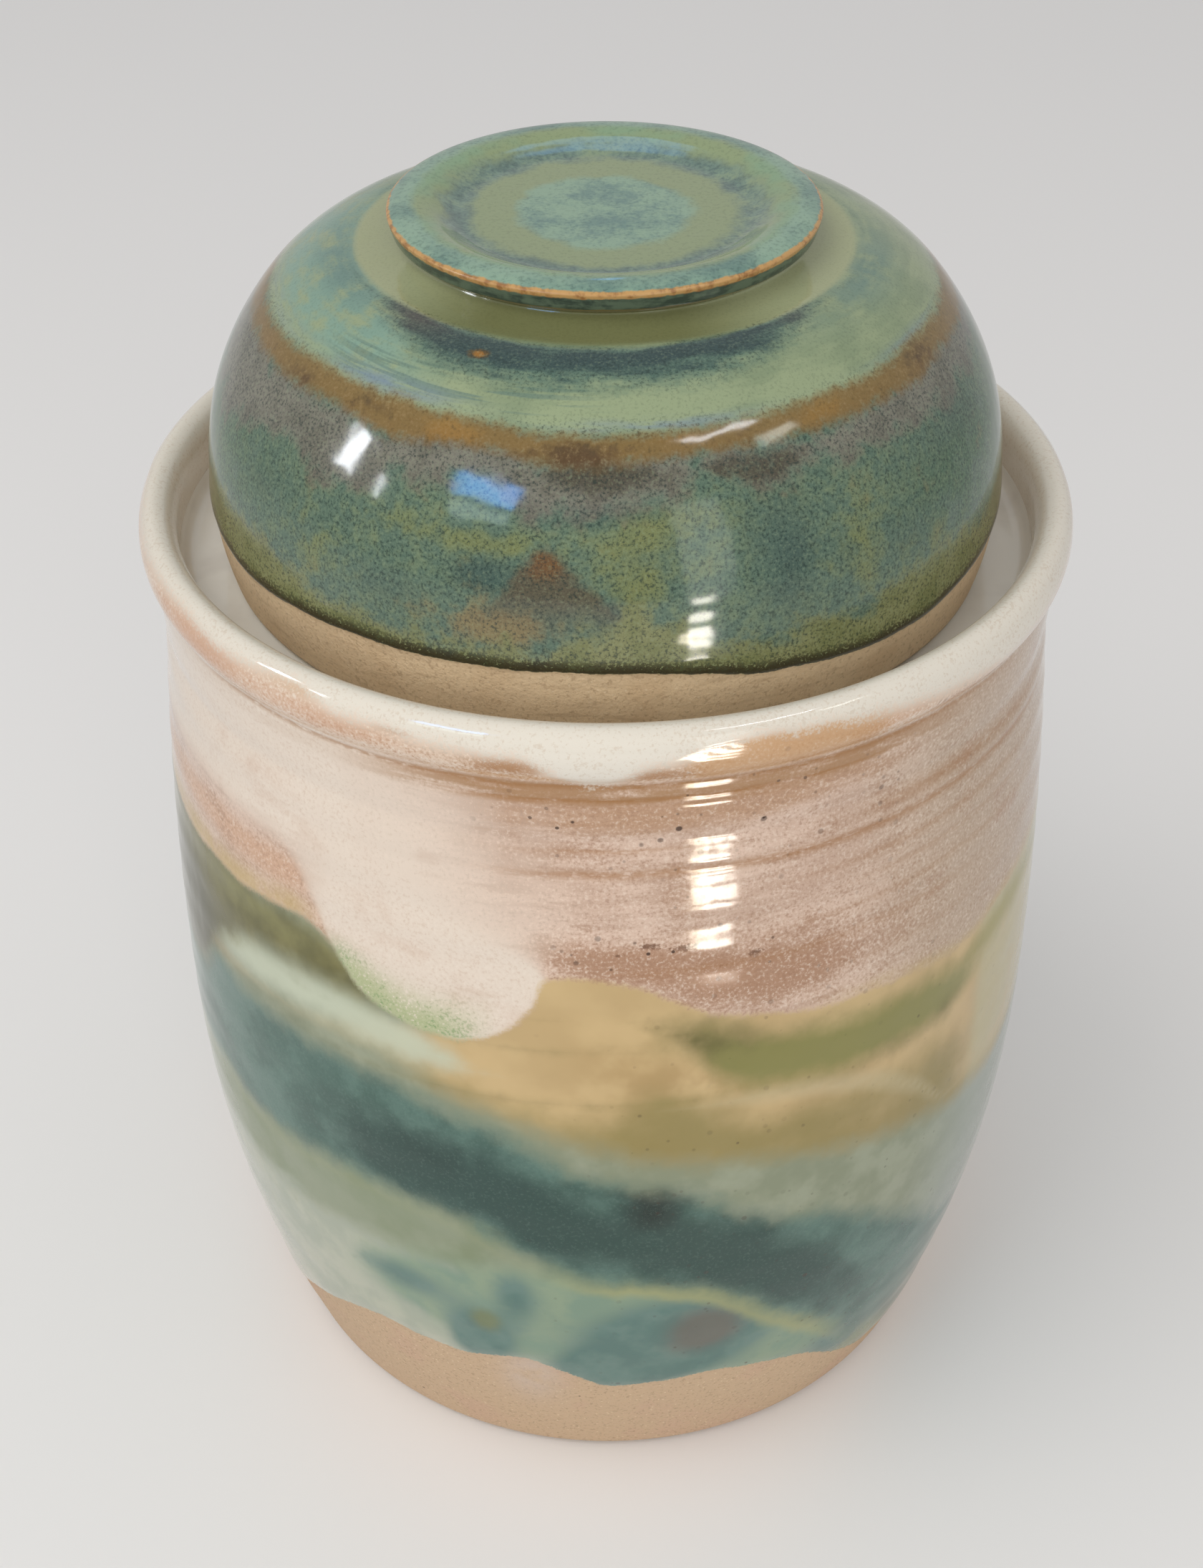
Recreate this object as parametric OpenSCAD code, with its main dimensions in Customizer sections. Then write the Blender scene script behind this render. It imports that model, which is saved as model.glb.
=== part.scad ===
// A stoneware pickle jar with a water seal. The crock's wall runs up past a moat to a rolled rim, the
// bowl-shaped lid stands upside down in the moat, and two half-moon weights lie on the crock's floor.
// The origin is the centre of the foot on the table, the axis of the crock is Z, and sizes are in mm.

/* [Crock] */
// Height from the table to the top of the rim
crock_h = 185.5; // [170:0.5:220]
// Radius of the wall where it is widest
belly_r = 83.6; // [81:0.1:95]
// Height of the widest place above the table
belly_z = 87; // [60:1:110]
// Radius of the wall's line at the table, before the bevel
foot_r = 69.4; // [64:0.1:78]
// Width and height of the bevel around the foot
foot_bevel = 2.4; // [1:0.1:4]
// Radius of the wall at the shoulder, under the rim
shoulder_r = 79.5; // [76:0.1:81]
// Depth of the shoulder below the top of the rim
shoulder_depth = 22; // [18:0.5:40]
// Thickness of the wall
wall_t = 6; // [5:0.1:8]
// Thickness of the floor
floor_t = 8; // [5:0.5:12]
// Radius of the inside corner between the floor and the wall
floor_corner_r = 6; // [2:0.5:10]

/* [Rim] */
// Width of the rolled rim, from the moat to the outside
rim_w = 6.6; // [5:0.1:8]
// Height of the rolled rim
rim_h = 10; // [7:0.5:12]
// How far the rim stands out past the shoulder
rim_overhang = 2.6; // [1.5:0.1:4]
// How far the wall flares out between the shoulder and the rim
rim_flare = 0.7; // [0:0.1:1.2]

/* [Moat] */
// Depth of the moat's floor below the top of the rim
moat_depth = 12; // [11:0.5:30]
// Thickness of the shelf that is the moat's floor
shelf_t = 5; // [3:0.5:8]
// Radius of the mouth, inside the collar
mouth_r = 52.5; // [40:0.5:56]
// Thickness of the collar
collar_t = 5; // [3:0.5:6]
// Height of the collar above the moat's floor
collar_h = 16; // [10:0.5:30]
// Radius of the cove where the collar meets the moat's floor
collar_cove_r = 3; // [1:0.5:3.5]

/* [Lid] */
// Gap between the collar and the inside of the lid's rim
lid_gap = 4; // [3.5:0.1:6]
// Thickness of the lid's wall
lid_wall_t = 5; // [4:0.1:6]
// How far the lid's widest place stands out past its rim
lid_bulge = 2.3; // [0:0.1:4]
// Height of the lid's widest place above its rim
lid_widest_h = 15.2; // [8:0.1:25]
// How far the lid's shoulder lies in from its widest place
lid_shoulder_in = 12.2; // [8:0.1:18]
// Height of the lid's shoulder above its rim
lid_shoulder_h = 47.6; // [40:0.1:54]
// Height of the lid's top, beside its foot, above its rim
lid_top_h = 55.4; // [52:0.1:70]
// Fullness of the side's curve, where 2 is a parabola and more is squarer
lid_fullness = 2.3; // [1.6:0.1:4]

/* [Lid foot] */
// Radius of the foot's sharp outer edge
edge_r = 35.7; // [30:0.1:40]
// How far the waist under the foot lies in from that edge
waist_in = 2.3; // [1:0.1:5]
// Height of the waist above the lid's top
waist_h = 1.6; // [1:0.1:6]
// Width of the cove between the waist and the lid's top
waist_cove_w = 6.6; // [2:0.1:9]
// Height of the flare from the waist up to the band
flare_h = 1.1; // [0.5:0.1:4]
// Height of the band below the sharp edge
band_h = 2.6; // [1:0.1:6]
// How far the band leans in towards its lower edge
band_lean = 0.7; // [0:0.1:0.9]
// Rise from the sharp edge to the crest of the ring
crest_rise = 1.2; // [0.4:0.1:3]
// Distance from the sharp edge in to the crest
crest_in = 4.7; // [2:0.1:6]
// Radius of the flat floor in the middle of the foot
recess_r = 23.6; // [15:0.1:24]
// Depth of that floor below the crest
recess_depth = 2.6; // [0.5:0.1:3.5]

/* [Weights] */
// Thickness of each half-moon weight
weight_t = 15; // [8:0.5:25]
// Gap between the weights' round edge and the corner of the crock's floor
weight_gap = 2; // [0.5:0.5:6]
// Gap between the two weights
weight_split = 3; // [1:0.5:8]
// Diameter of the finger hole in each weight
finger_hole_d = 22; // [18:1:30]
// Rounding of the weights' long edges
weight_edge_r = 2; // [0.5:0.5:3]

/* [Hidden] */
$fn = 96;

// Powers of the crock's curve below its belly and above it
lower_power = 2.2;
upper_power = 2;
// Width of the bevel that a wet sponge leaves on a cut edge
soft_edge = 1;
// How far a cut reaches past the solid that it cuts
cut_past = 1;
// Counts of straight pieces in each curved stretch
wall_steps = 24;
rim_steps = 20;
lid_side_steps = 16;
lid_top_steps = 6;
arc_steps = 6;

shoulder_z = crock_h - shoulder_depth;
rim_center = [shoulder_r + rim_overhang - rim_w / 2, crock_h - rim_h / 2];
rim_join_angle = -acos((shoulder_r + rim_flare - rim_center.x) / (rim_w / 2));
rim_join_z = rim_center.y + rim_h / 2 * sin(rim_join_angle);
moat_r = rim_center.x - rim_w / 2;
moat_z = crock_h - moat_depth;
shelf_z = moat_z - shelf_t;
collar_r = mouth_r + collar_t;
collar_top_z = moat_z + collar_h;
corner_top_z = floor_t + floor_corner_r;
corner_center = [inner_r(corner_top_z) - floor_corner_r, corner_top_z];

lid_rim_r = collar_r + lid_gap + lid_wall_t;
lid_widest_r = lid_rim_r + lid_bulge;
lid_shoulder_r = lid_widest_r - lid_shoulder_in;
waist_r = edge_r - waist_in;
waist_cove_r = waist_r + waist_cove_w;
foot_seat_h = lid_top_h + waist_h;

weight_r = corner_center.x - weight_gap;
// The finger hole lies at the half-moon's centre of area
finger_hole_y = 4 * weight_r / (3 * PI);

// Evenly spaced values from one number to another
function spaced(from, to, steps) = [for (i = [0 : steps]) from + (to - from) * i / steps];

// Points of an elliptical arc about a centre, from one angle to another
function arc(center, half_w, half_h, from, to, steps) =
    [for (a = spaced(from, to, steps)) center + [half_w * cos(a), half_h * sin(a)]];

// A path moved by t to the left of its own direction
function moved_left(path, t) =
    [for (i = [0 : len(path) - 1])
        let (along = path[min(i + 1, len(path) - 1)] - path[max(i - 1, 0)])
        path[i] + t * [-along.y, along.x] / norm(along)];

// Radius of the crock's outside at height z: below the belly, up to the shoulder, and up to the rim
function wall_r(z) =
    z < belly_z ? belly_r - (belly_r - foot_r) * pow((belly_z - z) / belly_z, lower_power)
    : z < shoulder_z ?
        belly_r - (belly_r - shoulder_r) * pow((z - belly_z) / (shoulder_z - belly_z), upper_power)
    : shoulder_r + rim_flare * (z - shoulder_z) / (rim_join_z - shoulder_z);

// Radius of the crock's inside at height z
function inner_r(z) = wall_r(z) - wall_t;

// Radius of the lid's outside at height h above its rim, up to the shoulder
function lid_side_r(h) =
    h < lid_widest_h ? lid_widest_r - lid_bulge * pow((lid_widest_h - h) / lid_widest_h, 2)
    : lid_widest_r
        - lid_shoulder_in * pow((h - lid_widest_h) / (lid_shoulder_h - lid_widest_h), lid_fullness);

// Height of the lid's top above its rim at radius r, between the shoulder and the foot's cove
function lid_top_z(r) =
    lid_top_h - (lid_top_h - lid_shoulder_h) * pow((r - waist_cove_r) / (lid_shoulder_r - waist_cove_r), 2);

module crock_body() {
    outside = [for (z = spaced(foot_bevel, shoulder_z, wall_steps)) [wall_r(z), z]];
    rim = arc(rim_center, rim_w / 2, rim_h / 2, rim_join_angle, 180, rim_steps);
    inside = [for (z = spaced(shelf_z, corner_top_z, wall_steps)) [inner_r(z), z]];
    corner = arc(corner_center, floor_corner_r, floor_corner_r, 0, -90, arc_steps);
    color("bisque")
        rotate_extrude()
            polygon(concat(
                [[0, 0], [foot_r - foot_bevel, 0]],
                outside,
                rim,
                [[moat_r, shelf_z]],
                inside,
                [for (i = [1 : arc_steps]) corner[i]],
                [[0, floor_t]]
            ));
}

module moat_ring() {
    cove_center = [collar_r + collar_cove_r, moat_z + collar_cove_r];
    lip_r = collar_t / 2;
    lip_center = [mouth_r + lip_r, collar_top_z - lip_r];
    color("ghostwhite")
        rotate_extrude()
            polygon(concat(
                [[mouth_r + soft_edge, shelf_z], [moat_r, shelf_z], [moat_r, moat_z]],
                arc(cove_center, collar_cove_r, collar_cove_r, 270, 180, arc_steps),
                arc(lip_center, lip_r, lip_r, 0, 180, 2 * arc_steps),
                [[mouth_r, shelf_z + soft_edge]]
            ));
}

module lid_bowl() {
    side = [for (h = spaced(soft_edge, lid_shoulder_h, lid_side_steps)) [lid_side_r(h), h]];
    top = [for (r = spaced(lid_shoulder_r, waist_cove_r, lid_top_steps)) [r, lid_top_z(r)]];
    outside = concat(side, [for (i = [1 : lid_top_steps]) top[i]]);
    inside = moved_left(outside, lid_wall_t);
    rim_in_r = lid_rim_r - lid_wall_t;
    color("darkseagreen")
        translate([0, 0, moat_z])
            rotate_extrude()
                polygon(concat(
                    [[rim_in_r + soft_edge, 0], [lid_rim_r - soft_edge, 0]],
                    outside,
                    arc([waist_cove_r, foot_seat_h], waist_cove_w, waist_h, 270, 180, arc_steps),
                    [[0, foot_seat_h], [0, lid_top_h - lid_wall_t]],
                    [for (i = [len(inside) - 1 : -1 : 1]) inside[i]],
                    [[rim_in_r, soft_edge]]
                ));
}

module lid_foot() {
    crest = [edge_r - crest_in, flare_h + band_h + crest_rise];
    edge_center = [crest.x, crest.y - crest_rise];
    recess_center = [recess_r, crest.y];
    color("cadetblue")
        translate([0, 0, moat_z + foot_seat_h])
            rotate_extrude()
                polygon(concat(
                    [[0, 0], [waist_r, 0], [edge_r - band_lean, flare_h]],
                    arc(edge_center, crest_in, crest_rise, 0, 90, arc_steps),
                    arc(recess_center, crest.x - recess_r, recess_depth, 0, -90, arc_steps),
                    [[0, crest.y - recess_depth]]
                ));
}

// A round disc with softened edges, cut to one half-moon on the side of +Y, with a finger hole
module half_moon() {
    edge_x = weight_r - weight_edge_r;
    difference() {
        rotate_extrude()
            polygon(concat(
                [[0, 0]],
                arc([edge_x, weight_edge_r], weight_edge_r, weight_edge_r, -90, 0, arc_steps),
                arc([edge_x, weight_t - weight_edge_r], weight_edge_r, weight_edge_r, 0, 90, arc_steps),
                [[0, weight_t]]
            ));
        translate([-weight_r - cut_past, -weight_r - cut_past, -cut_past])
            cube([
                2 * (weight_r + cut_past),
                weight_r + cut_past + weight_split / 2,
                weight_t + 2 * cut_past
            ]);
        translate([0, finger_hole_y, -cut_past])
            cylinder(h = weight_t + 2 * cut_past, d = finger_hole_d);
    }
}

module weight_front() {
    color("tan")
        translate([0, 0, floor_t])
            mirror([0, 1, 0])
                half_moon();
}

module weight_back() {
    color("tan")
        translate([0, 0, floor_t])
            half_moon();
}

crock_body();
moat_ring();
lid_bowl();
lid_foot();
weight_front();
weight_back();
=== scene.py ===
"""A stoneware pickle jar with a water seal, dressed in its poured glazes and lit by soft window light.

Lengths in this file are in mm and angles in degrees. Angles go round the jar from its front, -Y, towards +X.
"""
import math

import bpy
import numpy as np
from mathutils import Matrix, Vector


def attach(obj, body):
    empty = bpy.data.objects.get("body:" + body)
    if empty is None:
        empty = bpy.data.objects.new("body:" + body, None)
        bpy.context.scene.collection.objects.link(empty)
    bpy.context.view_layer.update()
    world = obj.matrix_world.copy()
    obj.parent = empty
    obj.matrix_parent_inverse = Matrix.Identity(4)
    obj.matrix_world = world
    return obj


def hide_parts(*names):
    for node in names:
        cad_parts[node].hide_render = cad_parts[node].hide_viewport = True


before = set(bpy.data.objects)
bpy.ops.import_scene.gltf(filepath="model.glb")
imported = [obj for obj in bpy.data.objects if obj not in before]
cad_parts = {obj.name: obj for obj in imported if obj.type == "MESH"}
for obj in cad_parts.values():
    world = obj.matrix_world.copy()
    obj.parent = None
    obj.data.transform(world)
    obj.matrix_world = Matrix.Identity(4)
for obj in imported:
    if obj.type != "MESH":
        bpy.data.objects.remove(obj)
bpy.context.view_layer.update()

MM = 0.001
COLUMNS = 360

# The crock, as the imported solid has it
BELLY_R, BELLY_Z = 83.57, 87.0
FOOT_R, FOOT_BEVEL = 69.4, 2.4
SHOULDER_R, SHOULDER_Z = 79.5, 163.5
LOWER_POWER, UPPER_POWER = 2.2, 2.0
RIM_CENTRE, RIM_HALF_W, RIM_HALF_H = (78.8, 180.5), 3.3, 5.0
RIM_JOIN_ANGLE = -64.9
RIM_JOIN_R, RIM_JOIN_Z = 80.2, 175.97
WALL_T, FLOOR_T, CORNER_R = 6.0, 8.0, 6.0
MOAT_R, MOAT_Z, SHELF_Z = 75.5, 173.5, 168.5

# The ring that makes the moat's floor, and the collar on it
MOUTH_R, COLLAR_R, COLLAR_TOP_Z, COVE_R = 52.5, 57.5, 189.5, 3.0

# The lid, with heights above its rim
LID_RIM_R, LID_WIDEST_R, LID_SHOULDER_R = 66.5, 68.8, 56.6
LID_WIDEST_H, LID_SHOULDER_H, LID_TOP_H = 15.2, 47.6, 55.4
LID_FULLNESS, LID_WALL_T = 2.3, 5.0
WAIST_R, WAIST_H, LID_COVE_W = 33.4, 1.6, 6.6

# The foot of the lid
EDGE_R, BAND_LEAN, FLARE_H, BAND_H = 35.7, 0.7, 1.1, 2.6
CREST_IN, CREST_RISE, RECESS_R, RECESS_DEPTH = 4.7, 1.2, 23.6, 2.6

# The half-moon weights
WEIGHT_T, WEIGHT_R, WEIGHT_HALF_SPLIT = 15.0, 59.95, 1.5
FINGER_Y, FINGER_R, WEIGHT_EDGE_R = 25.44, 11.0, 2.0


# ---------------------------------------------------------------- lines and surfaces


def line(start, end, steps):
    """Points on a straight line, evenly spaced from start to end."""
    return np.linspace(start, end, steps + 1)


def arc(centre, half_w, half_h, start, end, steps):
    """Points on an ellipse: centre + (half_w cos t, half_h sin t), with t from start to end."""
    t = np.radians(np.linspace(start, end, steps + 1))
    return np.stack([centre[0] + half_w * np.cos(t), centre[1] + half_h * np.sin(t)], 1)


def joined(*stretches):
    """One path out of several, without a point that repeats the one before it."""
    path = np.concatenate(stretches)
    step = np.hypot(*np.diff(path, axis=0).T)
    return path[np.concatenate([[True], step > 1e-6])]


def softened(path, near, reach, times):
    """A path whose points within reach of one place are replaced, several times over, by a mean with their
    neighbours: (before + 2 here + after) / 4."""
    path = path.copy()
    for _ in range(times):
        close = np.flatnonzero(np.hypot(*(path - near).T) < reach)
        path[close] = (path[close - 1] + 2 * path[close] + path[close + 1]) / 4
    return path


def along(path):
    """Distance of each point from the first, along the path."""
    return np.concatenate([[0.0], np.cumsum(np.hypot(*np.diff(path, axis=0).T))])


def outward(path):
    """Unit vectors square to the path, on its right, which is the outside of a turned piece."""
    step = np.gradient(path, axis=0)
    return np.stack([step[:, 1], -step[:, 0]], 1) / np.hypot(*step.T)[:, None]


def smooth(value, low, high):
    """0 below low, 1 above high, and 3t^2 - 2t^3 between them."""
    t = np.clip((value - low) / (high - low), 0, 1)
    return t * t * (3 - 2 * t)


def apart(angle, from_angle):
    """Degrees from one angle to another, the short way round."""
    return (angle - from_angle + 180) % 360 - 180


def around(angle, stops):
    """A smooth closed curve through the values given at a few angles: between two stops it is the cubic whose slope
    at each stop is that of the chord between the stops beside it."""
    at, value = np.array(sorted(stops.items()), float).T
    at = np.concatenate([at[-2:] - 360, at, at[:2] + 360])
    value = np.concatenate([value[-2:], value, value[:2]])
    slope = (value[2:] - value[:-2]) / (at[2:] - at[:-2])
    i = np.clip(np.searchsorted(at, angle, side="right") - 1, 1, len(at) - 3)
    width = at[i + 1] - at[i]
    t = (angle - at[i]) / width
    start, end = slope[i - 1] * width, slope[i] * width
    return (
        (2 * t**3 - 3 * t**2 + 1) * value[i] + (t**3 - 2 * t**2 + t) * start
        + (3 * t**2 - 2 * t**3) * value[i + 1] + (t**3 - t**2) * end
    )


def ripple(angle, seed, size, fewest=5, most=40):
    """The small waver of a poured edge: a sum of cosines of whole numbers of waves round the jar, each with its own
    phase, whose heights fall as the waves get shorter."""
    rng = np.random.default_rng(seed)
    count = np.arange(fewest, most)
    phase = rng.uniform(0, 2 * np.pi, len(count))
    height = size * rng.uniform(0.3, 1, len(count)) * fewest / count
    return (height * np.cos(np.radians(angle)[..., None] * count + phase)).sum(-1)


def above(level, angle, stops, radius, seed=0, waver=0.0):
    """Distance in mm of a point above a wavy line round the jar, measured square to that line: the height above it
    over sqrt(1 + slope^2)."""
    fine = np.linspace(-180, 180, 1441)
    edge = around(fine, stops) + ripple(fine, seed, waver)
    slope = np.gradient(edge, np.radians(fine) * radius)
    return (level - np.interp(angle, fine, edge)) / np.sqrt(1 + np.interp(angle, fine, slope) ** 2)


def patch(angle, level, centre, half_angle, half_level):
    """A soft round patch: exp(-(da / half_angle)^2 - (dl / half_level)^2)."""
    return np.exp(-((apart(angle, centre[0]) / half_angle) ** 2) - ((level - centre[1]) / half_level) ** 2)


def piece(name, points, faces, fields):
    """A smooth-shaded mesh at the origin, from points in mm and arrays of faces, with each field kept as one number
    at each point. Points that no face uses are left out."""
    used = np.unique(np.concatenate([part.ravel() for part in faces]))
    place = np.zeros(len(points), int)
    place[used] = np.arange(len(used))
    mesh = bpy.data.meshes.new(name)
    mesh.from_pydata((points[used] * MM).tolist(), [], [face for part in faces for face in place[part].tolist()])
    mesh.polygons.foreach_set("use_smooth", np.ones(len(mesh.polygons), bool))
    for field, value in fields.items():
        kept = mesh.attributes.new(field, "FLOAT", "POINT")
        kept.data.foreach_set("value", np.ravel(value)[used].astype(np.float32))
    made = bpy.data.objects.new(name, mesh)
    bpy.context.scene.collection.objects.link(made)
    return made


def quads(rows, columns, closed):
    """Faces of a grid whose columns go round, with its first row joined to its last where the path is closed, and
    otherwise with its first and last rows drawn together into one point each."""
    grid = np.arange(rows * columns).reshape(rows, columns)
    lower, upper = (grid, np.roll(grid, -1, 0)) if closed else (grid[1:-2], grid[2:-1])
    faces = [np.stack([lower, np.roll(lower, -1, 1), np.roll(upper, -1, 1), upper], -1).reshape(-1, 4)]
    if not closed:
        first, last = grid[1], grid[-2]
        faces.append(np.stack([0 * first + grid[0, 0], np.roll(first, -1), first], -1))
        faces.append(np.stack([0 * last + grid[-1, 0], last, np.roll(last, -1)], -1))
    return faces


def turned(name, path, fields, push=0.0, columns=COLUMNS, closed=False):
    """A turned piece: point (i, j) of its grid is path point i, moved by push(i, j) square to the path and carried
    round the axis to angle j: (r sin a, -r cos a, z)."""
    angle = np.radians(angles(columns))
    out = outward(path)
    r = path[:, :1] + push * out[:, :1] + 0 * angle
    z = path[:, 1:] + push * out[:, 1:] + 0 * angle
    points = np.stack([r * np.sin(angle), -r * np.cos(angle), z], -1)
    whole = {field: np.broadcast_to(value, r.shape) for field, value in fields.items()}
    return piece(name, points.reshape(-1, 3), quads(len(path), columns, closed), whole)


def angles(columns=COLUMNS):
    """The angles of a turned piece's columns."""
    return np.arange(columns) * 360 / columns - 180


# ---------------------------------------------------------------- the crock

# Heights of the poured glazes' edges round the crock
GLAZE_EDGE = {
    -170: 26, -140: 20, -110: 28, -90: 14, -72: 12, -62: 15, -55: 20, -48: 26, -40: 32, -33: 35.5, -26: 36,
    -20: 35.5, -15: 38, -11: 39, -6: 34, 0: 29.5, 7: 30, 14: 31, 22: 28.5, 30: 24, 38: 16, 46: 10, 58: 8, 75: 12,
    95: 20, 120: 30, 150: 24,
}
TEAL_TOP = {
    -170: 92, -140: 104, -110: 96, -80: 110, -60: 110, -45: 109.5, -30: 107, -22: 105, -14: 102, -8: 97.5,
    -3: 93.5, 3: 91, 8: 88.5, 13: 84, 20: 78, 26: 74.5, 32: 69, 40: 61, 48: 52, 56: 44, 68: 40, 82: 50, 105: 66,
    130: 80, 160: 90,
}
TEAL_FOOT = {
    -170: 64, -140: 78, -110: 70, -80: 78, -60: 80, -45: 80, -30: 80.5, -20: 79, -15: 76, -10: 71, -5: 66.5,
    0: 64, 6: 63, 12: 60, 17: 55, 22: 48, 27: 41.5, 32: 35, 38: 27, 44: 20, 52: 12, 64: 8, 82: 22, 105: 40,
    130: 54, 160: 60,
}
# The olive that droops at the left
DROOP_TOP = {-180: 118, -112: 122, -100: 129, -85: 135, -60: 135.5, -45: 135.5, -36: 134, -30: 129, -24: 121, -10: 110, 100: 110}
DROOP_FOOT = {
    -180: 124, -112: 125, -100: 122, -88: 114, -78: 105, -70: 101.5, -64: 104.5, -58: 114.5, -51: 121, -42: 124, -34: 124.5,
    -28: 124, -22: 124, -10: 122, 100: 122,
}
# The middle of the darkest part of the teal
DEEP_LINE = {-180: 82, -60: 95, -45: 92, -28: 90, -15: 87, -5: 80, 5: 75.5, 15: 69.5, 25: 57, 35: 45, 60: 20, 120: 60}
OCHRE_TOP = {
    -170: 116, -130: 112, -90: 108, -60: 112, -40: 114, -30: 119, -20: 124, -8: 142, 60: 142, 80: 140, 110: 124,
    150: 124,
}
OCHRE_FOOT = {
    -170: 108, -130: 106, -90: 106, -60: 112, -40: 115, -30: 114.5, -24: 111.5, -18: 108.5, -10: 105, -3: 101,
    3: 98, 10: 95.5, 20: 92, 30: 89, 40: 85, 47: 83, 52: 82, 58: 81, 66: 82, 76: 86, 90: 94, 120: 106, 150: 110,
}
UPPER_EDGE = {
    -170: 126, -145: 121, -118: 131, -95: 136, -75: 134.5, -60: 134, -46: 134.5, -38: 135.5, -34.5: 133,
    -31: 127, -27: 123.6, -21: 121.8, -15: 122.8, -11: 126.4, -8.6: 131.4, -7.2: 136, -4: 137, 0: 136.4, 4: 135,
    8: 131.5, 12: 129, 18: 127, 24: 125, 30: 124, 38: 122.5, 46: 121.5, 52: 121.5, 58: 123, 66: 125, 76: 126,
    88: 125, 100: 126, 125: 130, 150: 122,
}
CREAM_EDGE = {
    -170: 150, -130: 154, -95: 148, -70: 151, -55: 151, -44: 150, -39: 147, -36.5: 140, -34: 132.5, -31: 126.6,
    -27: 123.2, -21: 121.4, -15: 122.4, -11: 126, -8.4: 131.4, -6: 137, 0: 140, 40: 142, 70: 152, 80: 146,
    87: 139, 93: 137, 99: 140, 108: 148, 130: 152, 155: 146,
}
CREAM_TOP = {
    -180: 260, -60: 260, -36: 230, -27: 190, -18.5: 166, -15: 155, -12.5: 147.5, -10: 142.5, -8: 138, -4: 130,
    0: 124, 40: 118, 62: 116, 76: 126, 80: 150, 86: 200, 96: 250, 120: 260,
}
# How far the white of the moat's lining runs over the crest of the rim and down its outside
LIP_EDGE = {
    -170: 4, -150: 6, -130: 3.5, -110: 5.5, -90: 3, -70: 3.4, -60: 3.2, -52: 3.4, -46: 3.8, -40: 3, -35: 3.4,
    -30: 4.6, -25: 4.6, -21: 5.4, -16: 5.9, -12: 6.1, -8.6: 6.4, -6.6: 8.4, -4.2: 11, -2: 12.2, 0: 11.9, 1.8: 9.8,
    4: 7.6, 7: 6.8, 10: 5.3, 13: 4.2, 17: 3.4, 22: 3.8, 26: 4.4, 31: 5.2, 36: 6.2, 43: 7, 52: 8, 62: 7, 75: 5,
    92: 3.4, 112: 5.2, 132: 3.2, 152: 6,
}
# Grooves of the throwing that catch the darker glaze: height, half width, strength, and the angles between
# which they show
RINGS = (
    (174.9, 0.45, 0.8, -64, 62), (172.1, 0.42, 0.9, -25, 40), (170.8, 0.4, 0.45, -14, 32),
    (161.9, 0.42, 0.8, -16, 16), (161.0, 1.4, 0.6, 24, 80), (157.6, 0.9, 0.75, -20, 80), (152.5, 0.7, 0.35, 16, 75),
    (148.3, 0.8, 0.3, 20, 80), (143.6, 0.6, 0.25, 14, 70), (138.4, 0.7, 0.35, -8, 60), (132, 0.7, 0.25, 20, 75),
)

BACK_RINGS = ((174.6, 0.5, 0.6), (171.8, 0.5, 0.5), (165.5, 0.6, 0.35), (161.3, 0.5, 0.55), (157.2, 1.0, 0.45), (150, 0.6, 0.3), (143, 0.8, 0.3))


def wall_radius(z):
    """The crock's outside: belly_r less a power of the distance below the belly, or less another above it, and a
    straight flare from the shoulder to the rim."""
    below = np.clip((BELLY_Z - z) / BELLY_Z, 0, 1) ** LOWER_POWER
    over = np.clip((z - BELLY_Z) / (SHOULDER_Z - BELLY_Z), 0, 1) ** UPPER_POWER
    flare = np.clip((z - SHOULDER_Z) / (RIM_JOIN_Z - SHOULDER_Z), 0, 1)
    return (
        BELLY_R - (BELLY_R - FOOT_R) * below - (BELLY_R - SHOULDER_R) * over
        + (RIM_JOIN_R - SHOULDER_R) * flare
    )


def crock_path():
    """The crock's section: its base, wall, rolled rim, the moat's wall, the ledge, the inside and the floor."""
    foot = (FOOT_R - FOOT_BEVEL, FOOT_BEVEL)
    wall_z = np.concatenate([np.linspace(FOOT_BEVEL, 140, 84)[:-1], np.linspace(140, RIM_JOIN_Z, 84)])
    inner_z = np.linspace(SHELF_Z, FLOOR_T + CORNER_R, 16)
    corner = (wall_radius(FLOOR_T + CORNER_R) - WALL_T - CORNER_R, FLOOR_T + CORNER_R)
    path = joined(
        line((0, 0), (foot[0], 0), 5),
        arc(foot, wall_radius(FOOT_BEVEL) - foot[0], FOOT_BEVEL, -90, 0, 5),
        np.stack([wall_radius(wall_z), wall_z], 1),
        arc(RIM_CENTRE, RIM_HALF_W, RIM_HALF_H, RIM_JOIN_ANGLE, 180, 36),
        line((MOAT_R, RIM_CENTRE[1]), (MOAT_R, SHELF_Z), 6),
        np.stack([wall_radius(inner_z) - WALL_T, inner_z], 1),
        arc(corner, CORNER_R, CORNER_R, 0, -90, 5),
        line((corner[0], FLOOR_T), (0, FLOOR_T), 5),
    )
    return softened(path, (RIM_JOIN_R, RIM_JOIN_Z), 2.0, 8)


def inside_band(angle, level, foot, top, radius, seed, waver):
    """Distance in mm inside a band between two wavy lines, and less than 0 outside it."""
    return np.minimum(
        above(level, angle, foot, radius, seed, waver), -above(level, angle, top, radius, seed + 1, waver)
    )


def streak(angle, level, stops, half_width, start, end, radius=BELLY_R):
    """Distance in mm inside a streak that follows a wavy line and tapers to nothing at its two ends."""
    reach = smooth(angle, start - 4, start + 14) * smooth(-angle, -end - 4, -end + 14)
    return half_width * (1.6 * reach - 0.6) - np.abs(above(level, angle, stops, radius, 5, 0.2))


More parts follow.
